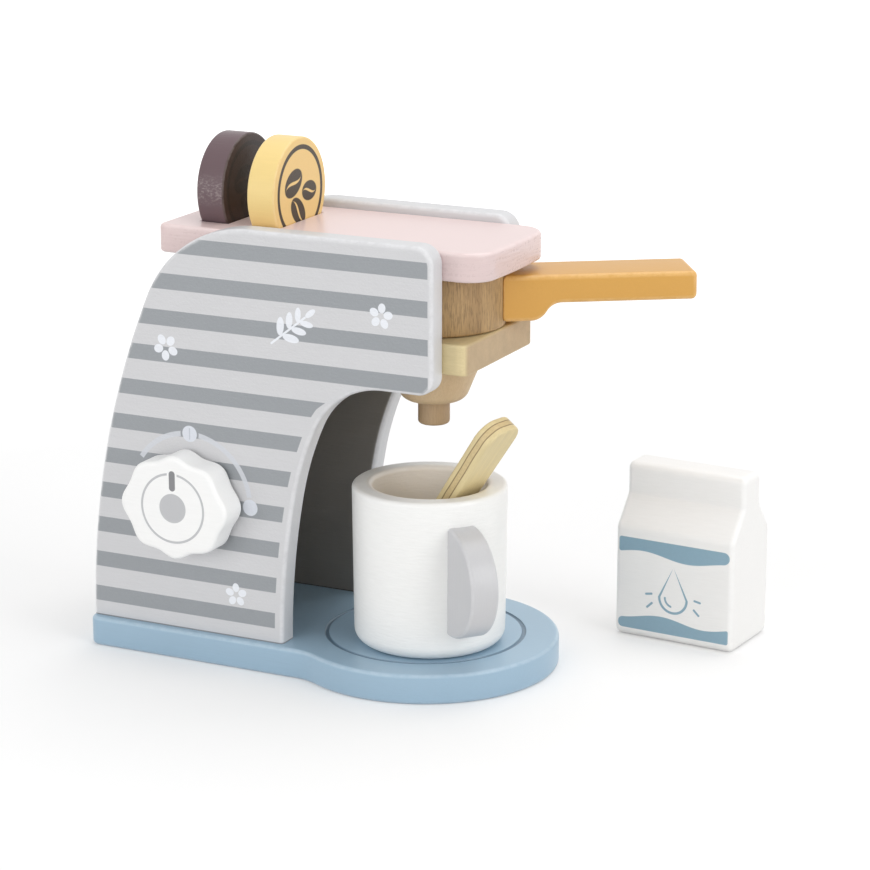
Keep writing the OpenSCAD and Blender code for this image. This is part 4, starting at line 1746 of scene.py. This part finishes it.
@dataclass
class TopBoard:
    """Top board with a bowed front edge and two slots for the discs."""

    low: float = BOARD_LOW
    high: float = 158.5
    back: float = -93.1
    front: float = 36.3
    half_gap: float = HALF_GAP
    front_r: float = 10.3
    back_r: float = 3.5
    bow: float = 1.3
    edge_r: float = 1.5
    low_edge_r: float = 1.2
    slot_x: Pair = DISC_X
    slot_half: Pair = (5.8, 16.904)
    slot_edge_r: Pair = (0.4, 0.5)

    def outline(self) -> Array:
        """Outline from above: the front's bow has the radius (half width² + bow²) / (2 bow).

        Returns:
            The closed outline, anticlockwise.
        """
        bow_r = (self.half_gap**2 + self.bow**2) / (2 * self.bow)
        bow_x = self.front - bow_r
        turn = math.asin((self.half_gap - self.front_r) / (bow_r - self.front_r))
        tip_x = bow_x + (bow_r - self.front_r) * math.cos(turn)
        tip_y = self.half_gap - self.front_r
        turn = math.degrees(turn)
        rear_x, rear_y = self.back + self.back_r, self.half_gap - self.back_r
        return joined(
            arc((rear_x, -rear_y), self.back_r, 180, 270, steps=12),
            arc((tip_x, -tip_y), self.front_r, 270, 360 - turn, steps=20),
            arc((bow_x, 0), bow_r, -turn, turn, steps=20),
            arc((tip_x, tip_y), self.front_r, turn, 90, steps=20),
            arc((rear_x, rear_y), self.back_r, 90, 180, steps=12),
        )

    def make(self) -> None:
        """Builds the board and dresses it in pink paint, sanded smooth on top and with painted shade on
        its sides.
        """
        work = Carving()
        loops = [self.outline()]
        rows = [edge_rows(self.low, self.high, self.low_edge_r, self.edge_r)]
        for x in self.slot_x:
            slot = np.array([(-1, -1), (-1, 1), (1, 1), (1, -1)]) * self.slot_half
            loops.append(slot + np.array([x, 0.0]))
            rows.append(edge_rows(self.low, self.high, *self.slot_edge_r, steps=4))
        work.prism(loops, rows)
        paint = Paint(
            "pink_paint", (231, 209, 207), (246, 233, 231), Grain.LEVEL, wear=0.3, rough=0.28,
            fibre_scale=1.0, fibre_depth=0.14, peel_depth=0.0, smooth_above=157.6, side_shade=0.09,
        )
        fit(work.piece("top_board_painted"), paint, "machine", "board_paint", "top_board")


@dataclass
class Head:
    """Block, turned dome and spout below the top board."""

    axis_x: float = FILTER_X
    block: Pair = (115.4, 126.4)
    block_x: Pair = (-20.8, 29.2)
    block_edge_r: float = 1.0
    half_gap: float = HALF_GAP
    corner_r: float = 2.5
    dome_low: float = 98.5
    dome_r: float = 18.0
    dome_lean: float = 22.0
    dome_round: float = 5.0
    spout_low: float = 89.8
    spout_r: float = 5.7
    spout_round: float = 1.2
    spout_in: float = 3.0
    dish: Pairs = ((0.0, 0.7), (2.3, 0.6), (3.3, 0.0))

    def make_block(self) -> None:
        """Builds the block of bare pale wood with end grain in front."""
        back, front = self.block_x
        corner_x, corner_y = front - self.corner_r, self.half_gap - self.corner_r
        outline = joined(
            [(back, self.half_gap), (back, -self.half_gap)],
            arc((corner_x, -corner_y), self.corner_r, 270, 360, steps=10),
            arc((corner_x, corner_y), self.corner_r, 0, 90, steps=10),
        )
        work = Carving()
        work.prism([outline], [edge_rows(*self.block, self.block_edge_r, self.block_edge_r)])
        wood = BareWood(
            "pale_wood", (218, 201, 156), (206, 188, 143), Grain.ALONG_X, pore=0.12, end_x=28.7,
            end_tone=(188, 164, 130),
        )
        fit(work.piece("spout_block_wood"), wood, "machine", "pale_wood", "spout_block")

    def make_dome(self) -> None:
        """Builds the dome: a cone that narrows downwards and turns along an arc into a flat foot.

        The arc's middle lies where both the cone and the foot touch it.
        """
        low, high, lean = self.dome_low, self.block[0], math.radians(self.dome_lean)
        touch = low + self.dome_round * (1 - math.sin(lean))
        middle = self.dome_r - (high - touch) * math.tan(lean) - self.dome_round * math.cos(lean)
        centre = (middle, low + self.dome_round)
        side = round_profile(centre, self.dome_round, 270, 360 - self.dome_lean, steps=16)
        side[:, 2] = 0
        foot = [[0, low, 0], [middle - LIP, low, 0]]
        top = [[self.dome_r, high, 0], [self.dome_r - LIP, high, 0], [0, high, 0]]
        profile = np.vstack([foot, side, top])
        work = Carving(Place((self.axis_x, 0.0, 0.0)))
        work.turned(profile)
        wood = BareWood("turned_wood", (216, 192, 156), (202, 174, 138), Grain.ALONG_Z, pore=0.15)
        fit(work.piece("spout_dome_wood"), wood, "machine", "turned_wood", "spout_dome")

    def make_spout(self) -> None:
        """Builds the spout, a dowel with a shallow dish in its end, in a darker copy of the turned wood
        as painted shade under the dome.
        """
        flat, top = self.spout_r - self.spout_round, self.dome_low + self.spout_in
        profile = np.vstack(
            [
                [[out, self.spout_low + deep, 0] for out, deep in self.dish],
                round_profile((flat, self.spout_low + self.spout_round), self.spout_round, 270, 360),
                [[self.spout_r, top, 0], [0, top, 0]],
            ]
        )
        work = Carving(Place((self.axis_x, 0.0, 0.0)))
        work.turned(profile, steps=72)
        # A darker copy of the dome's turned wood, as painted shade under the dome.
        wood = BareWood("spout_wood", (186, 160, 126), (168, 140, 108), Grain.ALONG_Z, pore=0.2)
        fit(work.piece("spout_wood"), wood, "machine", "turned_wood", "spout")

    def make(self) -> None:
        """Builds and dresses the three pieces."""
        self.make_block()
        self.make_dome()
        self.make_spout()


@dataclass
class Filter:
    """Swinging filter: a round wooden body with a painted handle."""

    axis_x: float = FILTER_X
    radius: float = 25.5
    low: float = 126.7
    high: float = 147.9
    body_edge_r: float = 0.8
    turn: float = FILTER_TURN
    reach: float = 92.2
    width: float = 24.0
    handle_top: float = 144.9
    grip_low: float = 134.6
    root_low: float = 128.3
    root_end: float = 33.0
    root_curve: float = 11.0
    root_r: float = 0.9
    edge_r: float = 1.9
    corner_r: float = 2.1
    least_corner_r: float = 0.15
    end_height: float = 8.0

    def make_body(self) -> None:
        """Builds the round body of bare brown wood."""
        work = Carving(Place((self.axis_x, 0.0, 0.0)))
        work.turned(rod_profile(self.radius, self.low, self.high, self.body_edge_r), steps=160)
        wood = BareWood(
            "brown_wood", (195, 162, 114), (152, 120, 80), Grain.ALONG_Z, pore=0.8,
            origin=(self.axis_x, 0.0, 0.0), turn=self.turn, fine=0.3,
        )
        fit(work.piece("filter_body_wood"), wood, "filter", "brown_wood", "filter_body")

    def lower_side(self, x: Array) -> Array:
        """Height of the handle's lower side: two equal arcs lead from the root up to the grip.

        Args:
            x: Distances from the filter's axis.

        Returns:
            Heights.
        """
        step = self.grip_low - self.root_low
        radius = (self.root_curve**2 + step**2) / (4 * step)
        t = np.clip(x - self.root_end, 0, self.root_curve)
        first = radius - np.sqrt(radius**2 - t**2)
        second = step - radius + np.sqrt(radius**2 - (self.root_curve - t) ** 2)
        return self.root_low + np.where(t < self.root_curve / 2, first, second)

    def make_handle(self) -> None:
        """Builds the handle in orange paint.

        A rectangle with rounded corners is carried outwards along the handle. Near the root each of
        its points is drawn back to the filter's round side, and at the end it shrinks along a quarter
        round. The root is closed by drawing its points level until the upper ones meet the lower ones.
        """
        angle = np.linspace(0, math.pi / 2, 8)
        curve_end = self.root_end + self.root_curve
        stops = (self.radius + 1.0, self.root_end, curve_end, self.reach - self.edge_r)
        spans = zip(stops, stops[1:], (6, 25, 8))
        body = np.unique(np.concatenate([np.linspace(*span) for span in spans]))[1:]
        flat = np.zeros(len(body))
        root, end = 1 - np.sin(angle), 1 - np.cos(angle[1:])
        root_x = self.radius + self.root_r * (1 - np.cos(angle))
        end_x = self.reach - self.edge_r * (1 - np.sin(angle[1:]))
        along = np.concatenate([root_x, body, end_x])
        inset = np.concatenate([self.root_r * root, flat, self.edge_r * end])
        bulge = np.concatenate([np.sin(2 * angle), flat, np.sin(2 * angle[1:])])[:, None]

        lower, upper = self.lower_side(along) + inset, self.handle_top - inset
        corner = np.maximum(self.corner_r - inset, self.least_corner_r)[:, None]
        turn = np.radians(np.add.outer((0, 90, 180, 270), np.linspace(0, 90, 8)).ravel())
        sign_y, sign_z = np.repeat([1, -1, -1, 1], 8), np.repeat([1, 1, -1, -1], 8)
        half_y = (self.width / 2 - inset)[:, None] - corner
        half_z = ((upper - lower) / 2)[:, None] - corner
        y = half_y * sign_y + corner * np.cos(turn)
        z = ((upper + lower) / 2)[:, None] + half_z * sign_z + corner * np.sin(turn)
        fade = np.clip((self.root_end - along) / (self.root_end - self.radius), 0, 1)[:, None]
        x = along[:, None] - (self.radius - np.sqrt(self.radius**2 - y**2)) * fade
        surface = np.stack([y, z, x], 2)

        work = Carving(Place((self.axis_x, 0.0, 0.0), Facing.FRONT, self.turn))
        work.grid(surface, np.maximum(bulge, np.abs(np.sin(2 * turn))))
        lip = surface[-1].copy()
        middle = lip.mean(0)[:2]
        shrink = 1 - 2 * LIP / np.array([self.width, self.end_height])
        lip[:, :2] = middle + (lip[:, :2] - middle) * shrink
        work.grid(np.stack([surface[-1], lip]), 0.0)
        seam = surface[0].copy()
        seam[:, 1] = seam[:, 1].mean()
        work.grid(np.stack([seam, surface[0]]), 0.0)
        work.cap([lip], up=True)
        paint = Paint("orange_paint", (213, 160, 76), (244, 200, 134), wear=0.45)
        fit(work.piece("filter_handle_painted"), paint, "filter", "orange_paint", "filter_handle")

    def make(self) -> None:
        """Builds and dresses both pieces."""
        self.make_body()
        self.make_handle()


@dataclass
class CoffeeDisc:
    """A flat disc that stands in a slot of the top board."""

    name: str
    middle: float
    paint: DiscPaint
    height: float = DISC_Z
    radius: float = 19.6
    thick: float = 11.0
    edge_r: float = 0.9

    @classmethod
    def dark(cls) -> "CoffeeDisc":
        """The disc in the rear slot, in matt dark paint, with a painted highlight on one side of its
        rim and a face darkened partly by painted shadow.
        """
        paint = DiscPaint(
            "dark_paint", (110, 92, 96), (170, 158, 156), wear=0.2, rough=0.3, fibre_depth=0.06,
            # Face tone darkened partly as painted shadow of the yellow disc in front.
            gloss=0.2, centre=(DISC_X[0], 0.0, DISC_Z), face_tone=(66, 51, 47), ink=(50, 40, 38),
            # Strength of the painted rim highlight.
            rim_highlight=0.45,
        )
        return cls("dark_disc", DISC_X[0], paint)

    @classmethod
    def yellow(cls) -> "CoffeeDisc":
        """The disc in the front slot, with yellow paint and a printed wooden face."""
        paint = DiscPaint(
            "yellow_paint", (244, 216, 146), (250, 230, 176), wear=0.4, gloss=0.3,
            centre=(DISC_X[1], 0.0, DISC_Z),
        )
        return cls("yellow_disc", DISC_X[1], paint)

    def make(self) -> None:
        """Builds the disc and dresses it in its paint."""
        work = Carving(Place((self.middle, 0.0, self.height), Facing.FRONT))
        work.turned(rod_profile(self.radius, -self.thick / 2, self.thick / 2, self.edge_r), steps=144)
        fit(work.piece(f"{self.name}_painted"), self.paint, self.name, self.paint.name, self.name)


@dataclass
class Knob:
    """Oval knob with a scalloped rim."""

    centre: Pair = KNOB_AXIS
    size: Pair = (42.0, 36.8)
    wave: float = 0.8
    lobes: int = 8
    back: float = 37.75
    thick: float = 12.0
    edge_r: float = 1.7
    back_edge_r: float = 1.4
    lobe_steps: int = 28

    def make(self) -> None:
        """Builds the knob in white paint: the oval's radius plus a cosine wave gives the outline."""
        angle = np.linspace(0, 2 * math.pi, self.lobes * self.lobe_steps, endpoint=False)
        oval = 1 / np.hypot(2 * np.cos(angle) / self.size[0], 2 * np.sin(angle) / self.size[1])
        radius = oval + self.wave * np.cos(self.lobes * angle)
        outline = np.stack([radius * np.cos(angle), radius * np.sin(angle)], 1)
        work = Carving(Place((self.centre[0], 0.0, self.centre[1]), Facing.RIGHT))
        rows = edge_rows(self.back, self.back + self.thick, self.back_edge_r, self.edge_r, steps=8)
        work.prism([outline], [rows])
        paint = KnobPaint("knob_paint", (250, 250, 249), (253, 253, 252), wear=0.3)
        fit(work.piece("knob_painted"), paint, "knob", "white_paint", "knob")


@dataclass
class Cup:
    """Turned cup with a half-round handle."""

    axis: Pair = CUP_AXIS
    foot: float = 11.2
    radius: float = 27.85
    taper: float = 0.6
    height: float = 58.5
    wall: float = 7.3
    floor: float = 9.5
    foot_r: float = 5.0
    floor_r: float = 2.0
    rim_r: float = 1.6
    ear_r: float = 19.8
    ear_t: float = 10.6
    ear_z: float = 29.6
    ear_turn: float = -40.0
    ear_edge: float = 1.3
    ear_in: float = 2.2

    def make_body(self) -> None:
        """Builds the cup from one profile that runs up the outside, over the rim and down the bore."""
        foot, rim = self.radius - self.taper, self.rim_r
        bore = self.radius - self.wall
        outside = round_profile((foot - self.foot_r, self.foot_r), self.foot_r, 270, 360, steps=14)
        outside[:, 2] = 0
        inside = round_profile((bore - self.floor_r, self.floor + self.floor_r), self.floor_r, 360, 270)
        inside[:, 2] = 0
        profile = np.vstack(
            [
                [[0, 0, 0], [foot - self.foot_r - LIP, 0, 0]],
                outside,
                round_profile((self.radius - rim, self.height - rim), rim, 0, 90),
                round_profile((bore + rim, self.height - rim), rim, 90, 180),
                inside,
                [[bore - self.floor_r - LIP, self.floor, 0], [0, self.floor, 0]],
            ]
        )
        work = Carving(Place((*self.axis, self.foot)))
        work.turned(profile, steps=192)
        paint = CupPaint(
            "cup_paint", (246, 246, 244), (250, 248, 244), Grain.AROUND, wear=0.25, rough=0.34,
            fibre_scale=1.3, fibre_depth=0.14, peel_depth=0.03,
        )
        fit(work.piece("cup_painted"), paint, "cup", "white_paint", "cup_body")

    def make_handle(self) -> None:
        """Builds the half-round handle, whose straight side is let into the cup's wall."""
        start = self.radius - self.ear_in
        outline = joined(
            [(start, self.ear_r), (start, -self.ear_r)],
            arc((self.radius, 0.0), self.ear_r, -90, 90, steps=72),
        )
        work = Carving(Place((*self.axis, self.foot + self.ear_z), Facing.RIGHT, self.ear_turn))
        half = self.ear_t / 2
        work.prism([outline], [edge_rows(-half, half, self.ear_edge, self.ear_edge)])
        paint = Paint("ear_paint", (201, 201, 203), (222, 222, 224), Grain.ALONG_Z, wear=0.4)
        fit(work.piece("cup_handle_painted"), paint, "cup", "grey_paint", "cup_handle")

    def make(self) -> None:
        """Builds and dresses both pieces."""
        self.make_body()
        self.make_handle()


@dataclass
class Stirrer:
    """Flat plywood stick that leans on the cup's rim."""

    cup: Cup = field(default_factory=Cup)
    top_w: float = 18.0
    foot_w: float = 12.5
    thick: float = 6.4
    long: float = 89.0
    top_r: float = 7.0
    foot_r: float = 4.5
    turn: float = -11.4
    gap: float = 0.3
    edge_r: float = 0.8

    def __post_init__(self) -> None:
        """Works out the lean: the stick touches the rim on one side and the opposite wall's foot.

        Its tangent is the way across, less the stick's own thickness, over the depth. The thickness
        depends on the lean, so a first guess of 35 degrees is put in again eight times.
        """
        bore = self.cup.radius - self.cup.wall
        deep = self.cup.height - self.cup.floor - self.gap
        reach = bore - self.gap
        rim_reach = math.sqrt(reach**2 - (self.top_w / 2) ** 2)
        lean = math.radians(35)
        for _ in range(8):
            lean = math.atan((rim_reach + reach - self.thick * math.cos(lean)) / deep)
        self.lean = math.degrees(lean)
        self.below = deep / math.cos(lean)
        turn = math.radians(self.turn)
        self.rim: Point = (
            self.cup.axis[0] + rim_reach * math.cos(turn),
            self.cup.axis[1] + rim_reach * math.sin(turn),
            self.cup.foot + self.cup.height,
        )

    def make(self) -> None:
        """Builds the stick and dresses it as plywood."""
        top, foot = self.top_w / 2 - self.top_r, self.foot_w / 2 - self.foot_r
        outline = joined(
            arc((self.long - self.top_r, top), self.top_r, 0, 90),
            arc((self.foot_r, foot), self.foot_r, 90, 180, steps=10),
            arc((self.foot_r, -foot), self.foot_r, 180, 270, steps=10),
            arc((self.long - self.top_r, -top), self.top_r, 270, 360),
        )
        outline[:, 0] -= self.below
        work = Carving(Place(self.rim, Facing.STICK, self.turn, self.lean))
        work.prism([outline], [edge_rows(0, self.thick, self.edge_r, self.edge_r, steps=5)])
        ply = Plywood("stick_plywood", self.rim, self.turn, self.lean, self.thick)
        fit(work.piece("stirrer_plywood"), ply, "stirrer", "plywood", "stirrer")


@dataclass
class MilkCarton:
    """Small block shaped as a milk carton with sloping shoulders and a ridge."""

    origin: Point = CARTON_FOOT
    turn: float = CARTON_TURN
    long: float = 48.1
    deep: float = 31.3
    wall: float = 42.2
    slope: float = 10.8
    ridge: float = 11.8
    ridge_t: float = 13.6
    edge_r: float = 2.3
    corner_r: tuple[float, float, float, float] = (3.0, 4.5, 1.2, 3.0)

    def make(self) -> None:
        """Builds the carton from its end view with rounded corners, in white paint."""
        half, top_half = self.deep / 2, self.ridge_t / 2
        shoulder = self.wall + self.slope
        top = shoulder + self.ridge
        right = [(half, 0.0), (half, self.wall), (top_half, shoulder), (top_half, top)]
        left = [(-x, z) for x, z in right]
        corners = np.array([left[0], *right, *left[:0:-1]])
        radii = np.array([self.corner_r[0], *self.corner_r, *self.corner_r[:0:-1]])
        outline = joined(rounded_corners(corners, radii))
        work = Carving(Place(self.origin, Facing.FRONT, self.turn))
        half_long = self.long / 2
        work.prism([outline], [edge_rows(-half_long, half_long, self.edge_r, self.edge_r, steps=8)])
        paint = CartonPaint("carton_paint", (244, 243, 241), (250, 250, 249), wear=0.4)
        fit(work.piece("milk_carton_painted"), paint, "milk_carton", "carton_paint", "milk_carton")


@dataclass
class Inside:
    """The nodes that stay as they are, most of them hidden inside the toy."""

    frame: dict[str, dict]
    pale: Colour = (226, 206, 166)
    dark: Colour = (206, 184, 140)

    def make(self) -> None:
        """Dresses the nodes in bare wood, felt and steel."""
        dowel = BareWood("dowel_wood", self.pale, self.dark, Grain.ALONG_Y, pore=0.3).dress()
        pin = BareWood("pin_wood", self.pale, self.dark, Grain.ALONG_Z, pore=0.3).dress()
        felt = Felt("washer_felt", (226, 226, 224)).dress()
        steel = Steel("screw_steel").dress()
        chosen = {
            "filter_pivot": pin,
            "filter_dowel": dowel,
            "knob_axle": dowel,
            "knob_cap": dowel,
            "knob_washer": felt,
            "cup_dowels": dowel,
            "panel_dowels": dowel,
            "base_screws": steel,
        }
        for name, material in chosen.items():
            node = self.frame["nodes"][name]
            node.data.materials.clear()
            node.data.materials.append(material)
            LOG.info("%s: dressed", name)


@dataclass(frozen=True)
class Lamp:
    """A square soft lamp that points at a height over the middle; metres and watts."""

    name: str
    spot: Point
    aim_z: float
    size: float
    power: float

    def hang(self) -> None:
        """Hangs the lamp where only its light is seen."""
        data = bpy.data.lights.new(self.name, "AREA")
        data.shape, data.size, data.energy = "SQUARE", self.size, self.power
        made = bpy.data.objects.new(self.name, data)
        made.location = self.spot
        made.rotation_mode = "QUATERNION"
        aim = Vector((0.0, 0.0, self.aim_z)) - Vector(self.spot)
        made.rotation_quaternion = aim.to_track_quat("-Z", "Y")
        made.visible_camera = False
        bpy.context.scene.collection.objects.link(made)


@dataclass
class Studio:
    """Floor, lamps, world and camera."""

    lamps: tuple[Lamp, ...] = (
        Lamp("overhead", (0.1, 0.45, 1.45), aim_z=0.05, size=1.2, power=9.0),
        Lamp("front_right", (1.6, -0.3, 0.7), aim_z=0.08, size=1.0, power=8.5),
        Lamp("left_front", (-1.2, -1.6, 0.4), aim_z=0.1, size=0.8, power=3.8),
        Lamp("camera_side", (-0.3, -1.93, 0.72), aim_z=0.08, size=1.1, power=6.8),
        Lamp("glint", (0.07, -1.97, 0.6), aim_z=0.1, size=0.14, power=0.9),
    )
    floor_half: float = 12.0
    floor_grey: float = 0.8
    floor_glow: float = 0.19
    far_glow: float = 0.6
    far_from: float = 330.0
    far_over: float = 900.0
    sky: float = 0.58
    eye: Point = (453.794, -924.596, 367.684)
    azimuth: float = 25.952
    elevation: float = 15.364
    roll: float = 0.026
    lens: float = 123.527
    sensor: float = 36.0

    def floor(self) -> None:
        """Lays a plain pale floor that keeps the object's shadow.

        It glows faintly for the camera, and more with the distance from the middle, less far_from,
        over far_over.
        """
        mesh = bpy.data.meshes.new("floor")
        corners = np.array([(-1, -1, 0), (1, -1, 0), (1, 1, 0), (-1, 1, 0)]) * self.floor_half
        mesh.from_pydata(corners.tolist(), [], [(0, 1, 2, 3)])
        plane = bpy.data.objects.new("floor", mesh)
        bpy.context.scene.collection.objects.link(plane)
        sheet = Sheet.named("floor_paper")
        x, y, _ = sheet.split(sheet.local())
        far = sheet.maths("DIVIDE", length(x, y) - self.far_from, self.far_over, clamp=True)
        grey = sheet.node("ShaderNodeBsdfDiffuse", {}, {"Color": (*[self.floor_grey] * 3, 1.0)})
        strength = self.seen(sheet) * (self.floor_glow + far * self.far_glow)
        glow = sheet.node("ShaderNodeEmission", {}, {"Color": (1, 1, 1, 1), "Strength": strength})
        both = sheet.node("ShaderNodeAddShader", {}, {0: grey.outputs[0], 1: glow.outputs[0]})
        sheet.node("ShaderNodeOutputMaterial", {}, {"Surface": both.outputs[0]})
        mesh.materials.append(sheet.owner)

    @staticmethod
    def seen(sheet: Sheet) -> Value:
        """Mask that is 1 for rays from the camera, a mirror or a glass, and 0 for light on the object.

        Args:
            sheet: The sheet that it is used on.

        Returns:
            The mask.
        """
        rays = sheet.node("ShaderNodeLightPath", {}, {}).outputs
        kinds = ("Is Camera Ray", "Is Glossy Ray", "Is Transmission Ray")
        return reduce(Value.at_least, [Value(sheet, rays[kind]) for kind in kinds])

    def world(self) -> None:
        """Fills the surroundings: a plain grey for light, white where the camera sees it."""
        sheet = Sheet(bpy.data.worlds.new("surroundings"))
        bpy.context.scene.world = sheet.owner
        strength = self.sky + self.seen(sheet) * (1.0 - self.sky)
        light = sheet.node("ShaderNodeBackground", {}, {"Color": (1, 1, 1, 1), "Strength": strength})
        sheet.node("ShaderNodeOutputWorld", {}, {"Surface": light.outputs[0]})

    def camera(self) -> None:
        """Places the camera by its azimuth, elevation and roll.

        Its back points out by the cosine of the elevation and up by its sine, turned by the azimuth.
        Its right and up are the level direction and the one above it, turned by the roll.
        """
        (c, s), (out, high), (flat, tilt) = map(direction, (self.azimuth, self.elevation, self.roll))
        back = np.array([s * out, -c * out, high])
        level = np.array([c, s, 0.0])
        rise = np.cross(back, level)
        right = flat * level + tilt * rise
        up = flat * rise - tilt * level
        data = bpy.data.cameras.new("camera")
        data.lens, data.sensor_width = self.lens, self.sensor
        made = bpy.data.objects.new("camera", data)
        turn = Matrix(np.stack([right, up, back], 1).tolist()).to_4x4()
        made.matrix_world = Matrix.Translation(Vector(self.eye) * MM) @ turn
        bpy.context.scene.collection.objects.link(made)
        bpy.context.scene.camera = made

    def make(self) -> None:
        """Sets up the whole studio."""
        self.floor()
        self.world()
        for lamp in self.lamps:
            lamp.hang()
        self.camera()
        bpy.context.scene.view_settings.view_transform = "Standard"


def main() -> None:
    """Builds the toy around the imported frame."""
    logging.basicConfig(level=logging.INFO, format="%(name)s: %(message)s")
    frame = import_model()
    machine = (Base(), SidePanel(Side.KNOB), SidePanel(Side.PLAIN), BackBoard(), TopBoard(), Head())
    moving = (Filter(), CoffeeDisc.dark(), CoffeeDisc.yellow(), Knob())
    cup = Cup()
    loose = (cup, Stirrer(cup), MilkCarton())
    for part in (*machine, *moving, *loose, Inside(frame), Studio()):
        part.make()
    bpy.context.view_layer.update()


if __name__ == "__main__":
    main()
